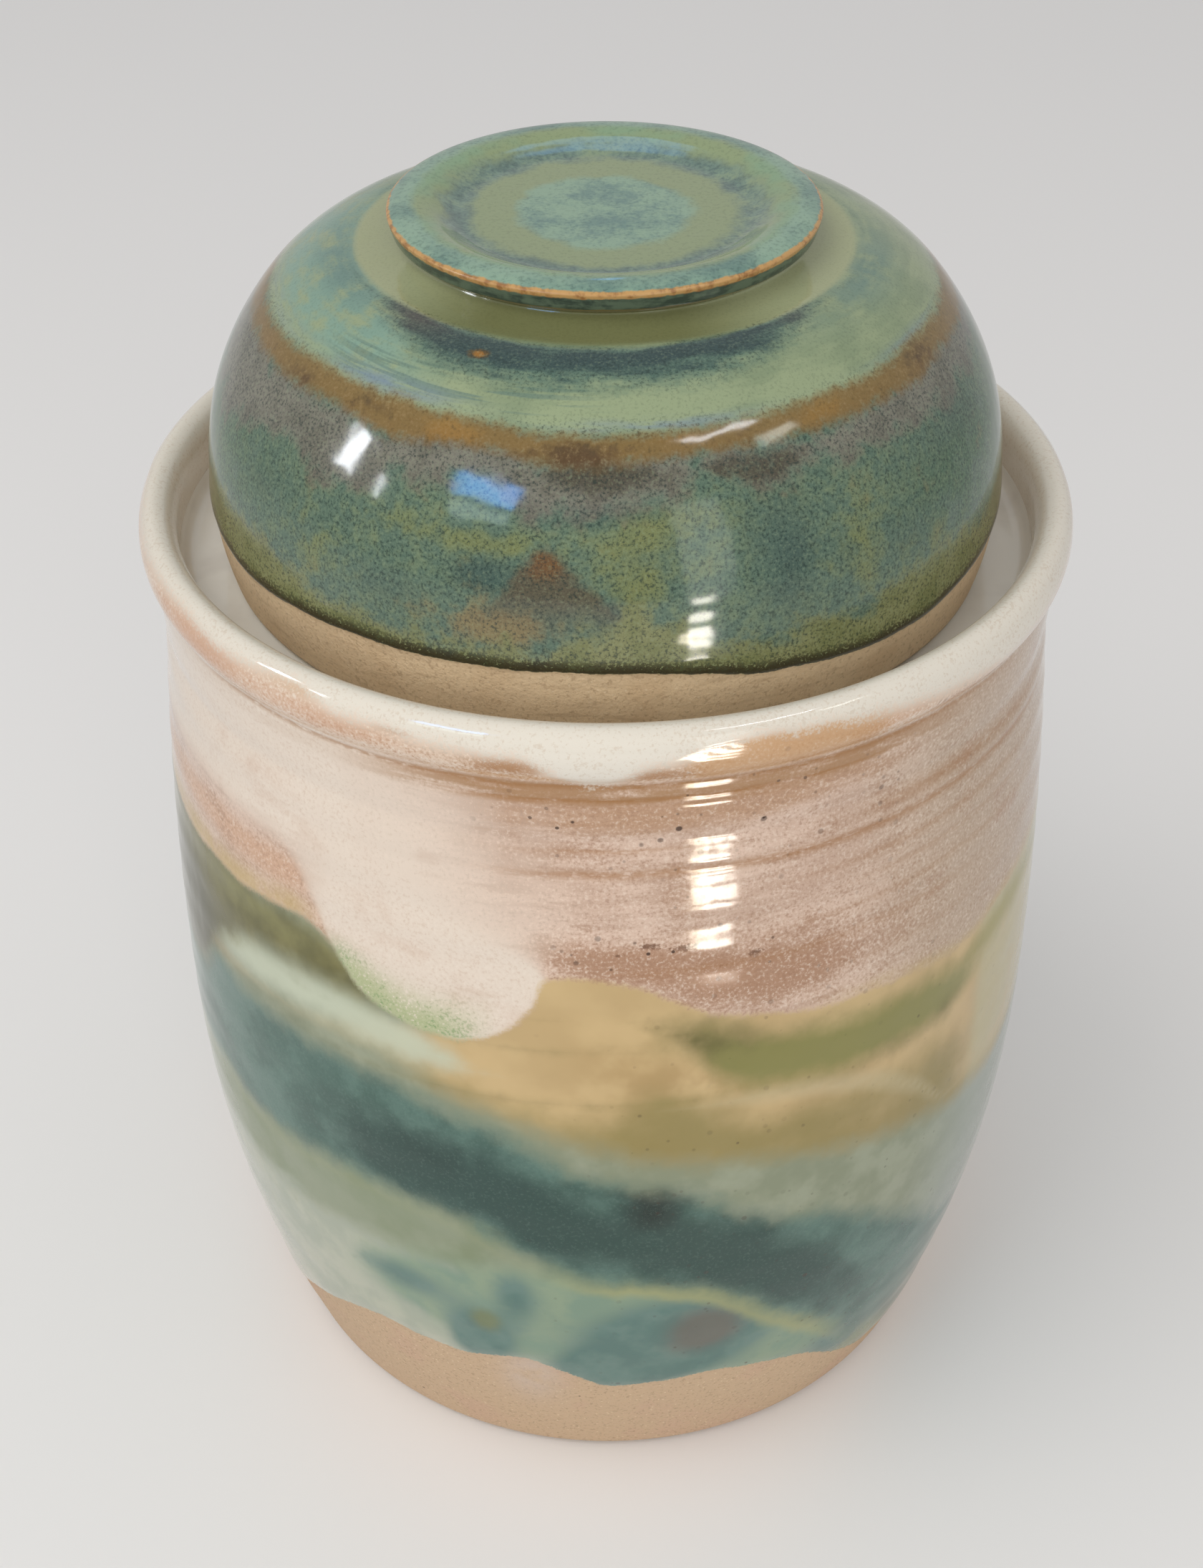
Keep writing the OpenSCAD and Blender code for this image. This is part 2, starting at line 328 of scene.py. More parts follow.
def lower_fields(a, z):
    """The numbers for the glazes that meet the foot: blue-green, sage, teal, pale, ochre and olive."""
    seam = above(z, a, TEAL_FOOT, BELLY_R, 31, 0.5)
    window = smooth(a, -44, -26) * smooth(-a, -46, -22)
    olive_left = inside_band(a, z, DROOP_FOOT, DROOP_TOP, BELLY_R, 35, 0.4)
    olive_right = streak(a, z, {0: 129, 5: 127, 10: 123.5, 15: 118.5, 20: 115.6, 30: 114, 40: 113.6, 50: 113, 60: 114,
                                180: 115}, 5.4, 3, 57)
    olive_far = streak(a, z, {0: 110, 40: 113, 50: 116, 60: 119, 72: 121, 90: 120, 180: 115}, 3, 42, 104)
    olive_back = streak(apart(a, 180), z, {0: 118, 40: 122, -40: 121, 90: 120, -90: 124}, 4, -70, 60)
    return {
        "edge": above(z, a, GLAZE_EDGE, 78, 21, 0.6),
        "teal": inside_band(a, z, TEAL_FOOT, TEAL_TOP, BELLY_R, 31, 0.5),
        "deep": np.exp(-((above(z, a, DEEP_LINE, BELLY_R) / 13) ** 2)) * (0.32 + 0.68 * window),
        "spot": patch(a, z, (5.3, 84.5), 3.4, 6.5) + 0.5 * patch(a, z, (3, 89), 8, 2.4) + 0.4 * patch(a, z, (-21, 93), 6, 7),
        "seam": seam,
        "gold": 0.12 + 0.75 * smooth(a, -10, 2) * smooth(-a, -40, -26),
        "sea": np.clip(
            patch(a, z, (-6, 52), 14, 14) + 0.8 * patch(a, z, (-24, 54), 10, 9) + patch(a, z, (24, 40), 16, 16)
            + 0.8 * patch(a, z, (100, 44), 18, 12) + 0.8 * patch(a, z, (-120, 52), 24, 10), 0, 1),
        "pool": np.clip(
            1.3 * patch(a, z, (9, 45), 12, 12) + patch(a, z, (1, 36), 8, 6) + patch(a, z, (-17.5, 43), 4.6, 9)
            + 0.6 * patch(a, z, (-28, 55), 7, 5) + 0.6 * patch(a, z, (-12, 58), 3, 8) + 0.7 * patch(a, z, (38, 24), 10, 9)
            + 0.8 * patch(a, z, (-145, 44), 10, 9) + 0.8 * patch(a, z, (140, 42), 12, 9), 0, 1.2),
        "ash": np.clip(patch(a, z, (12.5, 47), 6, 8) + 0.7 * patch(a, z, (46, 28), 8, 10), 0, 1),
        "lichen": patch(a, z, (-16.5, 49), 2.6, 4.5),
        "rose": patch(a, z, (-11, 32), 4, 9),
        "ochre": inside_band(a, z, OCHRE_FOOT, OCHRE_TOP, BELLY_R, 33, 0.4),
        "sour": np.clip(
            patch(a, z, (7, 105), 8, 8) + 0.9 * patch(a, z, (27, 98), 16, 7) + 0.8 * patch(a, z, (46, 92), 8, 9)
            + 0.6 * patch(a, z, (10, 123), 7, 3.5) + 0.6 * patch(a, z, (170, 112), 30, 8)
            + 0.7 * smooth(-above(z, a, OCHRE_FOOT, BELLY_R), -9, 0), 0, 1),
        "caramel": np.clip(patch(a, z, (13, 114), 8, 5) + 0.6 * patch(a, z, (2, 118), 6, 8), 0, 1),
        "olive": np.maximum.reduce([olive_left, olive_right, olive_far, olive_back]),
        "sunny": smooth(a, 44, 56) * smooth(-a, -112, -90),
        "leaf": patch(a, z, (30, 115), 26, 9) + 0.4 * patch(a, z, (-48, 131), 16, 4),
        "pale": streak(a, z, {-90: 116, -60: 118, -45: 119, -35: 120, -26: 118.5, -16: 116, 0: 112, 180: 112}, 5.2, -66, -12),
        "thread": streak(a, z, {0: 109, 8: 108.6, 15: 108.6, 22: 107.4, 30: 104.5, 36: 100.5, 42: 94, 48: 86, 180: 80},
                         1.7, 8, 50),
        "mist": smooth(a, 40, 58) * smooth(-a, -130, -100),
        "oat": smooth(a, 51, 55) * smooth(-a, -110, -84) * smooth(z, 74, 92),
        "dusk": patch(a, z, (-69, 113), 15, 16) * smooth(olive_left, -2, 3),
    }


def upper_fields(a, z, down):
    """The numbers for the cream and beige glazes of the shoulder."""
    upper = above(z, a, UPPER_EDGE, BELLY_R, 11, 0.25)
    cream = np.minimum(above(z, a, CREAM_EDGE, BELLY_R, 11, 0.25), -above(z, a, CREAM_TOP, BELLY_R, 12, 0.6))
    left = smooth(-a, 34, 42) * smooth(a, -150, -120)
    ring = sum(
        strength * np.exp(-((z - height - 0.2 * ripple(a, 40, 0.5)) / half) ** 2)
        * smooth(a, start, start + 20) * smooth(-a, -end, 20 - end) for height, half, strength, start, end in RINGS
    )
    back_ring = sum(
        strength * np.exp(-((z - height - 0.2 * ripple(a, 42, 0.8, 2, 12)) / half) ** 2) * (0.6 + 0.4 * np.sin(np.radians(a * 3) + height))
        for height, half, strength in BACK_RINGS
    ) * smooth(np.abs(a), 62, 96)
    return {
        "upper": upper,
        "cream": cream,
        "melt": 0.7 + 17.0 * smooth(z, 137, 154) * smooth(a, -42, -28) + 2 * smooth(z, 138, 150),
        "fringe": np.exp(-((cream - 2.0) / 4.8) ** 2) * smooth(a, -38, -32) * smooth(-a, 12, 21) * smooth(-z, -137, -129),
        "yolk": np.exp(-((upper - 1.4) / 2.6) ** 2) * left + 0.8 * np.exp(-((upper - 0.5) / 1.6) ** 2) * smooth(a, 20, 40),
        "peach": np.exp(-((z - 143.4) / 4.4) ** 2) * left,
        "pink": np.clip(
            patch(a, z, (8, 139), 13, 4.6) + 0.8 * patch(a, z, (17, 132.5), 11, 4.4) + 0.5 * patch(a, z, (0, 142), 9, 3)
            + 0.45 * patch(a, z, (28, 136), 12, 7) + 0.35 * patch(a, z, (-150, 140), 30, 9), 0, 1),
        "crumb": np.clip(patch(a, z, (9, 143), 2.4, 0.9) + patch(a, z, (4.4, 143.8), 1.6, 0.7) + patch(a, z, (17, 140), 1.2, 0.7)
                         + 0.8 * patch(a, z, (1, 142.2), 1, 0.5) + 0.8 * patch(a, z, (13, 138), 1.4, 0.5), 0, 1),
        "haze": smooth(a, 16, 54) * smooth(-a, -150, -110),
        "tawny": np.clip(patch(a, z, (3, 168.4), 20, 4) + 0.6 * patch(a, z, (26, 170), 16, 3), 0, 1),
        "groove": smooth(down, 11.2, 12.6) * smooth(-down, -17.4, -15.4) * (
            0.15 + 0.85 * smooth(a, -34, -14) * smooth(-a, -52, -28)),
        "ring": np.clip(ring + back_ring, 0, 1),
        "dots": np.clip(
            0.35 * smooth(a, -14, 6) * smooth(-a, -62, -34) + patch(a, z, (6, 143), 10, 3.5) + patch(a, z, (3, 168), 18, 5),
            0, 1.3),
    }


def rim_fields(a, down):
    """The numbers for the rolled rim, by the distance down from its crest."""
    return {
        "roll": smooth(down, -1, 1) * smooth(-down, -12.4, -10.8),
        "tan": np.clip(
            0.95 * smooth(a, 5, 12) * smooth(-a, -38, -24) * smooth(down, 3.0, 5.0)
            + 0.6 * smooth(a, -24, -12) * smooth(-a, -2, 4) * smooth(down, 8.4, 11) + 0.7 * patch(a, down, (-36, 3.2), 5, 1.4)
            + 0.5 * smooth(a, 30, 40) * smooth(-a, -60, -48) * smooth(down, 9, 11)
            + 0.35 * patch(a, down, (120, 8), 30, 4) + 0.35 * patch(a, down, (-140, 8), 25, 4), 0, 1),
        "scorch": np.clip(
            patch(a, down, (-10.5, 8.0), 5, 2) + patch(a, down, (5.6, 9.2), 4.2, 1.9) + 0.8 * patch(a, down, (-23, 4.9), 3, 0.8)
            + 0.7 * patch(a, down, (44, 9.6), 6, 0.8) + 0.5 * patch(a, down, (24, 10.6), 9, 0.7), 0, 1),
        "blush": np.clip(
            patch(a, down, (-55, 6), 12, 4) + 0.7 * patch(a, down, (-32, 7), 12, 3) + 0.6 * patch(a, down, (33, 8), 8, 3)
            + 0.5 * patch(a, down, (90, 8), 30, 4), 0, 1),
        "lip": above(-down, a, {at: -value for at, value in LIP_EDGE.items()}, 82, 51, 0.12),
    }


def crock_fields(path):
    """The numbers that the crock's glazes are mixed by, at each point of its grid."""
    a = angles()[None, :]
    z = path[:, 1:]
    length = along(path)
    down = (length[np.argmax(path[:, 1])] - length)[:, None]
    return {"length": length[:, None], **lower_fields(a, z), **upper_fields(a, z, down), **rim_fields(a, down)}


def crock_push(path, fields):
    """How far the crock's surface stands out: shallow grooves of the throwing cut in, and beads where glazes end."""
    a, z = angles()[None, :], path[:, 1:]
    outside = smooth(-fields["lip"], -14, -12)
    wave = 0.5 + 0.5 * np.cos(2 * np.pi * (z + 0.6 * ripple(a, 61, 1, 1, 5)) / 8.6)
    grooves = -0.16 * wave * (0.4 + 0.6 * smooth(z, 100, 150)) * smooth(-z, -172, -164)
    rings = -0.2 * fields["ring"] * smooth(z, 120, 150)
    bead = 0.34 * smooth(fields["edge"], -0.6, 0.9) * smooth(-fields["edge"], -9, -1)
    lobe = 0.28 * smooth(fields["cream"], -0.5, 0.7) * smooth(-fields["cream"], -8, -1) * smooth(-z, -136, -124)
    lip = 0.16 * smooth(fields["lip"], -0.6, 0.8) * fields["roll"]
    return (grooves + rings + bead + lobe) * outside * smooth(z, 1, 5) + lip


def crock():
    """The crock's one fired body: clay foot, poured glazes outside, rolled rim and white lining."""
    path = crock_path()
    fields = crock_fields(path)
    return turned("crock", path, fields, crock_push(path, fields))


# ---------------------------------------------------------------- the moat's ring


def moat_ring():
    """The moat's floor and collar: a closed section, whose glaze pools in a cove at each side of the floor and thins
    over the collar's rounded lip."""
    lip_r = (COLLAR_R - MOUTH_R) / 2
    path = joined(
        line((MOUTH_R + 1, SHELF_Z), (MOAT_R, SHELF_Z), 20),
        line((MOAT_R, SHELF_Z), (MOAT_R, MOAT_Z + 2.6), 8),
        arc((MOAT_R - 2.8, MOAT_Z + 2.8), 2.8, 2.8, -6, -90, 12),
        line((MOAT_R - 2.8, MOAT_Z), (COLLAR_R + COVE_R, MOAT_Z), 14),
        arc((COLLAR_R + COVE_R, MOAT_Z + COVE_R), COVE_R, COVE_R, 270, 180, 10),
        line((COLLAR_R, MOAT_Z + COVE_R), (COLLAR_R, COLLAR_TOP_Z - lip_r), 12),
        arc((MOUTH_R + lip_r, COLLAR_TOP_Z - lip_r), lip_r, lip_r, 0, 180, 16),
        line((MOUTH_R, COLLAR_TOP_Z - lip_r), (MOUTH_R, SHELF_Z + 1), 16),
    )
    return turned("moat_lining", path, {"thin": np.exp(-((path[:, 1:] - COLLAR_TOP_Z) / 1.2) ** 2)}, closed=True)


# ---------------------------------------------------------------- the lid

# Distances up the lid's side, from its rim, of the edges of its glazes
LID_GLAZE_EDGE = {
    -170: 13, -140: 14.6, -110: 12.5, -85: 13.6, -60: 14, -45: 14.2, -30: 14.6, -18: 15.1, -10: 15.5,
    0: 15.6, 7: 15.2, 13: 14.1, 20: 12.7, 30: 11.6, 42: 10.9, 55: 11.3, 70: 12.6, 90: 14.3, 115: 12.4, 145: 14,
}
LID_OLIVE_TOP = {
    -170: 20, -140: 24, -110: 19, -80: 22, -60: 22, -45: 21, -30: 19, -18: 18.4, -8: 19, -2: 22, 3: 26,
    8: 23, 12: 19.5, 22: 18.8, 32: 19.4, 45: 20, 60: 21, 80: 22, 110: 20, 145: 23,
}
LID_BAND_FOOT = {
    -170: 47.4, -130: 48.6, -95: 47.6, -70: 48.6, -55: 48.8, -46: 49.4, -40: 48.6, -33: 47.6, -26: 48.9, -16: 49.2,
    -10: 48, 0: 47.8, 8: 48.8, 16: 49.2, 26: 48.9, 35: 48.2, 48: 48.8, 56: 48.4, 64: 49.4, 80: 48.2, 100: 47.4,
    140: 48.4,
}
LID_BAND_TOP = {
    -170: 52.6, -130: 53.4, -95: 52.4, -70: 52.2, -55: 53.4, -44: 53.8, -34: 53.6, -20: 53.2, -8: 52.6, 4: 52.3,
    16: 52.4, 28: 53.2, 40: 53.9, 48: 53.4, 56: 53.8, 66: 53.6, 80: 52.8, 100: 52.6, 140: 53,
}
PURPLE_FOOT = {
    -170: 43, -130: 40, -95: 43, -76: 36, -62: 39, -50: 42, -40: 39, -30: 42.5, -22: 44.5, -14: 44, -9: 42.6,
    0: 42.4, 9: 42.8, 14: 45.4, 20: 43.6, 27: 44.2, 34: 44.6, 44: 45.6, 52: 44, 60: 43, 72: 44, 100: 45, 140: 42,
}
# The rust flame that climbs the lid's front
RUST_TOP = {
    -180: 5, -40: 12, -24: 20, -16.5: 25.5, -13: 29.5, -10.5: 34, -8: 35.8, -6: 34, -3: 30.4, 0.5: 27.6, 4: 24, 10: 16,
    40: 6,
}
LENS_FOOT = {
    -60: 68.6, -52: 67.4, -44: 64.6, -36: 62.2, -28: 60.4, -18: 60.2, -5: 60.6, 10: 60.6, 20: 61.2, 30: 62.8,
    40: 65.2, 47: 67, 56: 68.6, 90: 70, 180: 68.5, -100: 70,
}
LENS_TOP = {
    -60: 68, -52: 69.6, -44: 69.8, -30: 69, -10: 68.2, 8: 68.4, 25: 69, 38: 69.4, 47: 69.2, 56: 68, 90: 67,
    180: 72, -100: 67,
}


def lid_side_radius(h):
    """The lid's outside at a height above its rim: a parabola under its widest place, and a fuller power over it."""
    below = np.clip((LID_WIDEST_H - h) / LID_WIDEST_H, 0, 1) ** 2
    over = np.clip((h - LID_WIDEST_H) / (LID_SHOULDER_H - LID_WIDEST_H), 0, 1) ** LID_FULLNESS
    return LID_WIDEST_R - (LID_WIDEST_R - LID_RIM_R) * below - (LID_WIDEST_R - LID_SHOULDER_R) * over


def lid_path():
    """The lid's section: its bare rim, side, top and cove, the seat of its foot, and the hollow inside."""
    h = np.linspace(1, LID_SHOULDER_H, 96)
    side = np.stack([lid_side_radius(h), h], 1)
    r = np.linspace(LID_SHOULDER_R, WAIST_R + LID_COVE_W, 30)
    fall = ((r - r[-1]) / (r[0] - r[-1])) ** 2
    top = np.stack([r, LID_TOP_H - (LID_TOP_H - LID_SHOULDER_H) * fall], 1)
    seat_h = LID_TOP_H + WAIST_H
    outside = joined(side, top)
    inside = (outside - LID_WALL_T * outward(outside))[::-1][::2]
    rim_in = LID_RIM_R - LID_WALL_T
    outside = softened(outside, (LID_SHOULDER_R, LID_SHOULDER_H), 3.5, 10)
    return (0, MOAT_Z) + joined(
        line((0, LID_TOP_H - LID_WALL_T), (inside[0, 0] - 3, LID_TOP_H - LID_WALL_T), 8),
        inside,
        arc((rim_in + 1, 1), 1, 1, 180, 270, 5),
        line((rim_in + 1, 0), (LID_RIM_R - 1, 0), 5),
        arc((LID_RIM_R - 1, 1), 1, 1, 270, 360, 5),
        outside,
        arc((WAIST_R + LID_COVE_W, seat_h), LID_COVE_W, WAIST_H, 270, 180, 14),
        line((WAIST_R, seat_h), (0, seat_h), 6),
    )


def lid_fields(path):
    """The numbers that the lid's glazes are mixed by, at each point of its grid. Up is the distance up the outside
    from the rim."""
    a = angles()[None, :]
    length = along(path)
    rim = np.flatnonzero((path[:, 1] < MOAT_Z + 1.01) & (path[:, 0] > LID_RIM_R - 0.5))[0]
    up = (length - length[rim])[:, None] + 0.5
    return {
        "length": up,
        "edge": above(up, a, LID_GLAZE_EDGE, LID_WIDEST_R, 71, 0.22),
        "inner": smooth(-up, 8, 10),
        **lid_side_fields(a, up),
        **lid_top_fields(a, up),
    }


def lid_side_fields(a, up):
    """The numbers for the mottled glazes of the lid's side, and for a painted brown reflection on its front."""
    return {
        "olive": -above(up, a, LID_OLIVE_TOP, LID_WIDEST_R, 72, 0.6),
        "band": inside_band(a, up, LID_BAND_FOOT, LID_BAND_TOP, 58, 73, 0.14),
        "burnt": np.clip(
            0.9 * patch(a, up, (-4, 49.4), 9, 2.4) + 0.8 * patch(a, up, (60, 51.5), 9, 2.4)
            + 0.7 * patch(a, up, (-38, 51.5), 4, 2) + 0.5 * patch(a, up, (22, 50), 6, 1.6)
            + 0.6 * patch(a, up, (-56, 50), 8, 2) + 0.6 * patch(a, up, (150, 50), 20, 3), 0, 1),
        "honey": np.clip(
            patch(a, up, (-24, 51), 7, 1.8) + 0.8 * patch(a, up, (34, 51), 7, 2) + 0.6 * patch(a, up, (10, 51.4), 9, 1)
            + 0.7 * patch(a, up, (-100, 51), 16, 2) + 0.7 * patch(a, up, (110, 51), 16, 2), 0, 1),
        "purple": inside_band(a, up, PURPLE_FOOT, LID_BAND_FOOT, 62, 74, 0.5),
        "umber": np.clip(
            patch(a, up, (-1, 46), 10, 3) + 0.9 * patch(a, up, (22, 46), 9, 3) + 0.7 * patch(a, up, (-35, 47.5), 4, 2)
            + 0.4 * patch(a, up, (62, 46), 8, 3), 0, 1),
        "rust": -above(up, a, RUST_TOP, LID_WIDEST_R, 76, 0.15),
        "ember": patch(a, up, (-8, 33), 3.2, 3),
        # A painted reflection: the brown patch low on the front left of the lid's side
        "tawny": patch(a, up, (-13, 22.4), 8.5, 3.8),
        "slate": np.clip(
            patch(a, up, (-15.5, 30.5), 5.5, 3.6) + 0.9 * patch(a, up, (2, 25), 4, 3.6)
            + 0.9 * patch(a, up, (24, 32), 6, 10) + 0.8 * patch(a, up, (-2, 41), 13, 2.6)
            + 0.5 * patch(a, up, (44, 28), 9, 5) + 0.6 * patch(a, up, (-30, 26), 8, 4)
            + 0.5 * patch(a, up, (-52, 33), 9, 6) + 0.6 * patch(a, up, (60, 40), 16, 5)
            + 0.6 * patch(a, up, (-120, 32), 16, 8) + 0.6 * patch(a, up, (165, 30), 14, 9), 0, 1),
        "moss": np.clip(
            patch(a, up, (-16, 35.5), 9, 2.2) + 0.9 * patch(a, up, (4, 32), 6, 7) + 0.6 * patch(a, up, (10, 39), 7, 3)
            + 0.7 * patch(a, up, (34, 29), 6, 8) + 0.6 * patch(a, up, (-42, 28), 8, 5) + 0.5 * patch(a, up, (-30, 36), 6, 3)
            + 0.5 * patch(a, up, (50, 24), 8, 4) + 0.5 * patch(a, up, (120, 30), 18, 9)
            + 0.5 * patch(a, up, (-160, 36), 14, 5), 0, 1),
        "fern": np.clip(
            smooth(a, 36, 62) * smooth(-a, -150, -110) + 0.7 * smooth(-a, 44, 66) * smooth(a, -150, -110), 0, 1)
            * smooth(-up, -42, -34),
    }


def lid_top_fields(a, up):
    """The numbers for the sage top, its dark lens and the cove under the foot, with a painted sky reflection on the
    shoulder, painted shade beside the foot and painted light in the cove.
    """
    return {
        "frost": np.clip(
            smooth(-a, 22, 48) * smooth(a, -140, -100) + 0.5 * smooth(np.abs(a), 120, 160), 0, 1) * smooth(up, 53, 58),
        # Blue-grey streaks of the glaze on the shoulder; the blue streak at the front shoulder is a painted reflection
        # of the sky
        "bloom": np.clip(
            patch(a, up, (-38, 55.2), 12, 1.5) + 0.9 * patch(a, up, (8, 53.6), 14, 0.9) + 0.5 * patch(a, up, (62, 54.4), 12, 1)
            + 0.5 * patch(a, up, (-75, 54.5), 14, 1.4), 0, 1),
        "combed": smooth(up, 54, 56) * smooth(-up, -62, -59) * smooth(a, -58, -46) * smooth(-a, -4, 14),
        "lens": np.minimum(0.7 * above(up, a, LENS_FOOT, 47, 75, 0.12), -2 * above(up, a, LENS_TOP, 42, 76, 0.08)),
        # A darker blue-teal ring beside the foot at its sides and back: partly the lens glaze carried round, partly
        # painted shade beside the foot
        "ringed": np.clip(
            patch(a, up, (70, 66), 24, 4.4) + patch(a, up, (-76, 66), 24, 4) + 0.7 * patch(a, up, (180, 66), 60, 4), 0, 1),
        "mauve": np.clip(patch(a, up, (-44, 68), 9, 3.4) + 0.5 * patch(a, up, (44, 68), 5, 3), 0, 1),
        "spot": patch(a, up, (-24.5, 64.3), 2.4, 1.3),
        "cove": smooth(up, 68.5, 69.7),
        # Painted light in the cove: darkest at the front, painted paler towards the sides
        "cove_light": smooth(np.abs(a + 6), 20, 55),
    }


def lid_push(fields):
    """How far the lid's surface stands out: the rolled bead where its glaze ends."""
    edge = fields["edge"]
    return 0.38 * smooth(edge, -0.5, 0.5) * smooth(-edge, -6, -0.6) * (1 - fields["inner"])


def lid_bowl():
    """The lid's bowl: bare clay rim, speckled and banded glaze, and a hollow that is glazed inside."""
    path = lid_path()
    fields = lid_fields(path)
    return turned("lid_dome", path, fields, lid_push(fields))


def lid_foot():
    """The lid's foot: a waist, a band that leans out to a sharp edge, a rounded crest, and a shallow dish."""
    base = MOAT_Z + LID_TOP_H + WAIST_H
    edge_z = base + FLARE_H + BAND_H
    crest = (EDGE_R - CREST_IN, edge_z + CREST_RISE)
    slope_w = crest[0] - RECESS_R
    t = np.linspace(0, 1, 26)
    dish = np.stack([crest[0] - slope_w * t, crest[1] - RECESS_DEPTH * (0.35 * smooth(t, 0, 0.55) + 0.65 * smooth(t, 0.3, 1))], 1)
    path = joined(
        line((0, base), (WAIST_R, base), 4),
        line((WAIST_R, base), (EDGE_R - BAND_LEAN, base + FLARE_H), 5),
        line((EDGE_R - BAND_LEAN, base + FLARE_H), (EDGE_R, edge_z), 10),
        arc((crest[0], edge_z), CREST_IN, CREST_RISE, 0, 90, 22),
        dish,
        line((RECESS_R, crest[1] - RECESS_DEPTH), (0, crest[1] - RECESS_DEPTH), 40),
    )
    path = softened(path, (EDGE_R - BAND_LEAN, base + FLARE_H), 0.8, 2)
    length = along(path)
    sharp = length[np.argmax(path[:, 0])]
    fields = {"length": length[:, None], "past": (length - sharp)[:, None], "out": path[:, :1]}
    return turned("lid_foot_ring", path, fields, columns=300)


# ---------------------------------------------------------------- the weights


def weight(name, side):
    """A half-moon weight: point (i, j) goes out from the finger hole's axis in direction j, by a share of the way
    from the hole to the outline, up the hole's wall, over the top, down the outside and back under."""
    t = np.radians(np.arange(280) * 360 / 280)
    to_round = -FINGER_Y * np.sin(t) + np.sqrt(WEIGHT_R**2 - (FINGER_Y * np.cos(t)) ** 2)
    to_cut = (FINGER_Y - WEIGHT_HALF_SPLIT) / np.maximum(-np.sin(t), 0.02)
    outline = -1.2 * np.log(np.exp(-(to_round - 60) / 1.2) + np.exp(-(np.minimum(to_cut, 150) - 60) / 1.2)) + 60
    edge, low, high = WEIGHT_EDGE_R, FLOOR_T, FLOOR_T + WEIGHT_T
    section = [
        (0, FINGER_R, arc((1.4, low + 1.4), 1.4, 1.4, 270, 180, 5)),
        (0, FINGER_R, arc((1.4, high - 1.4), 1.4, 1.4, 180, 90, 5)),
        (None, 0, line((0, high), (1, high), 22)[1:-1]),
        (1, 0, arc((-edge, high - edge), edge, edge, 90, 0, 6)),
        (1, 0, arc((-edge, low + edge), edge, edge, 0, -90, 6)),
        (None, 0, line((1, low), (0, low), 12)[1:-1]),
    ]
    reach, height = [], []
    for share, start, points in section:
        if share is None:
            inner, outer = FINGER_R + 1.4, outline - edge
            reach.append(inner + points[:, :1] * (outer - inner))
        else:
            reach.append(points[:, :1] + start + share * outline + 0 * t)
        height.append(points[:, 1:] + 0 * t)
    r, z = np.concatenate(reach), np.concatenate(height)
    points = np.stack([r * np.cos(t) * side, side * (FINGER_Y + r * np.sin(t)), z], -1)
    return piece(name, points.reshape(-1, 3), [quads(*r.shape, True)[0][:, ::-1]], {})


# ---------------------------------------------------------------- shader tools


def paint(code):
    """A colour written as on a paint chart, in the light that the shader counts in."""
    parts = np.array([int(code[i:i + 2], 16) for i in (0, 2, 4)]) / 255
    linear = np.where(parts <= 0.04045, parts / 12.92, ((parts + 0.055) / 1.055) ** 2.4)
    return (*(float(part) for part in linear), 1.0)


class Wire:
    """The output of a node. Arithmetic on it adds Math nodes."""

    def __init__(self, finish, socket):
        self.finish, self.socket = finish, socket

    def math(self, operation, *values):
        return self.finish.node("ShaderNodeMath", {"operation": operation}, dict(enumerate(values)))

    def __add__(self, other):
        return self.math("ADD", self, other)

    def __sub__(self, other):
        return self.math("SUBTRACT", self, other)

    def __rsub__(self, other):
        return self.math("SUBTRACT", other, self)

    def __mul__(self, other):
        return self.math("MULTIPLY", self, other)

    __radd__, __rmul__ = __add__, __mul__


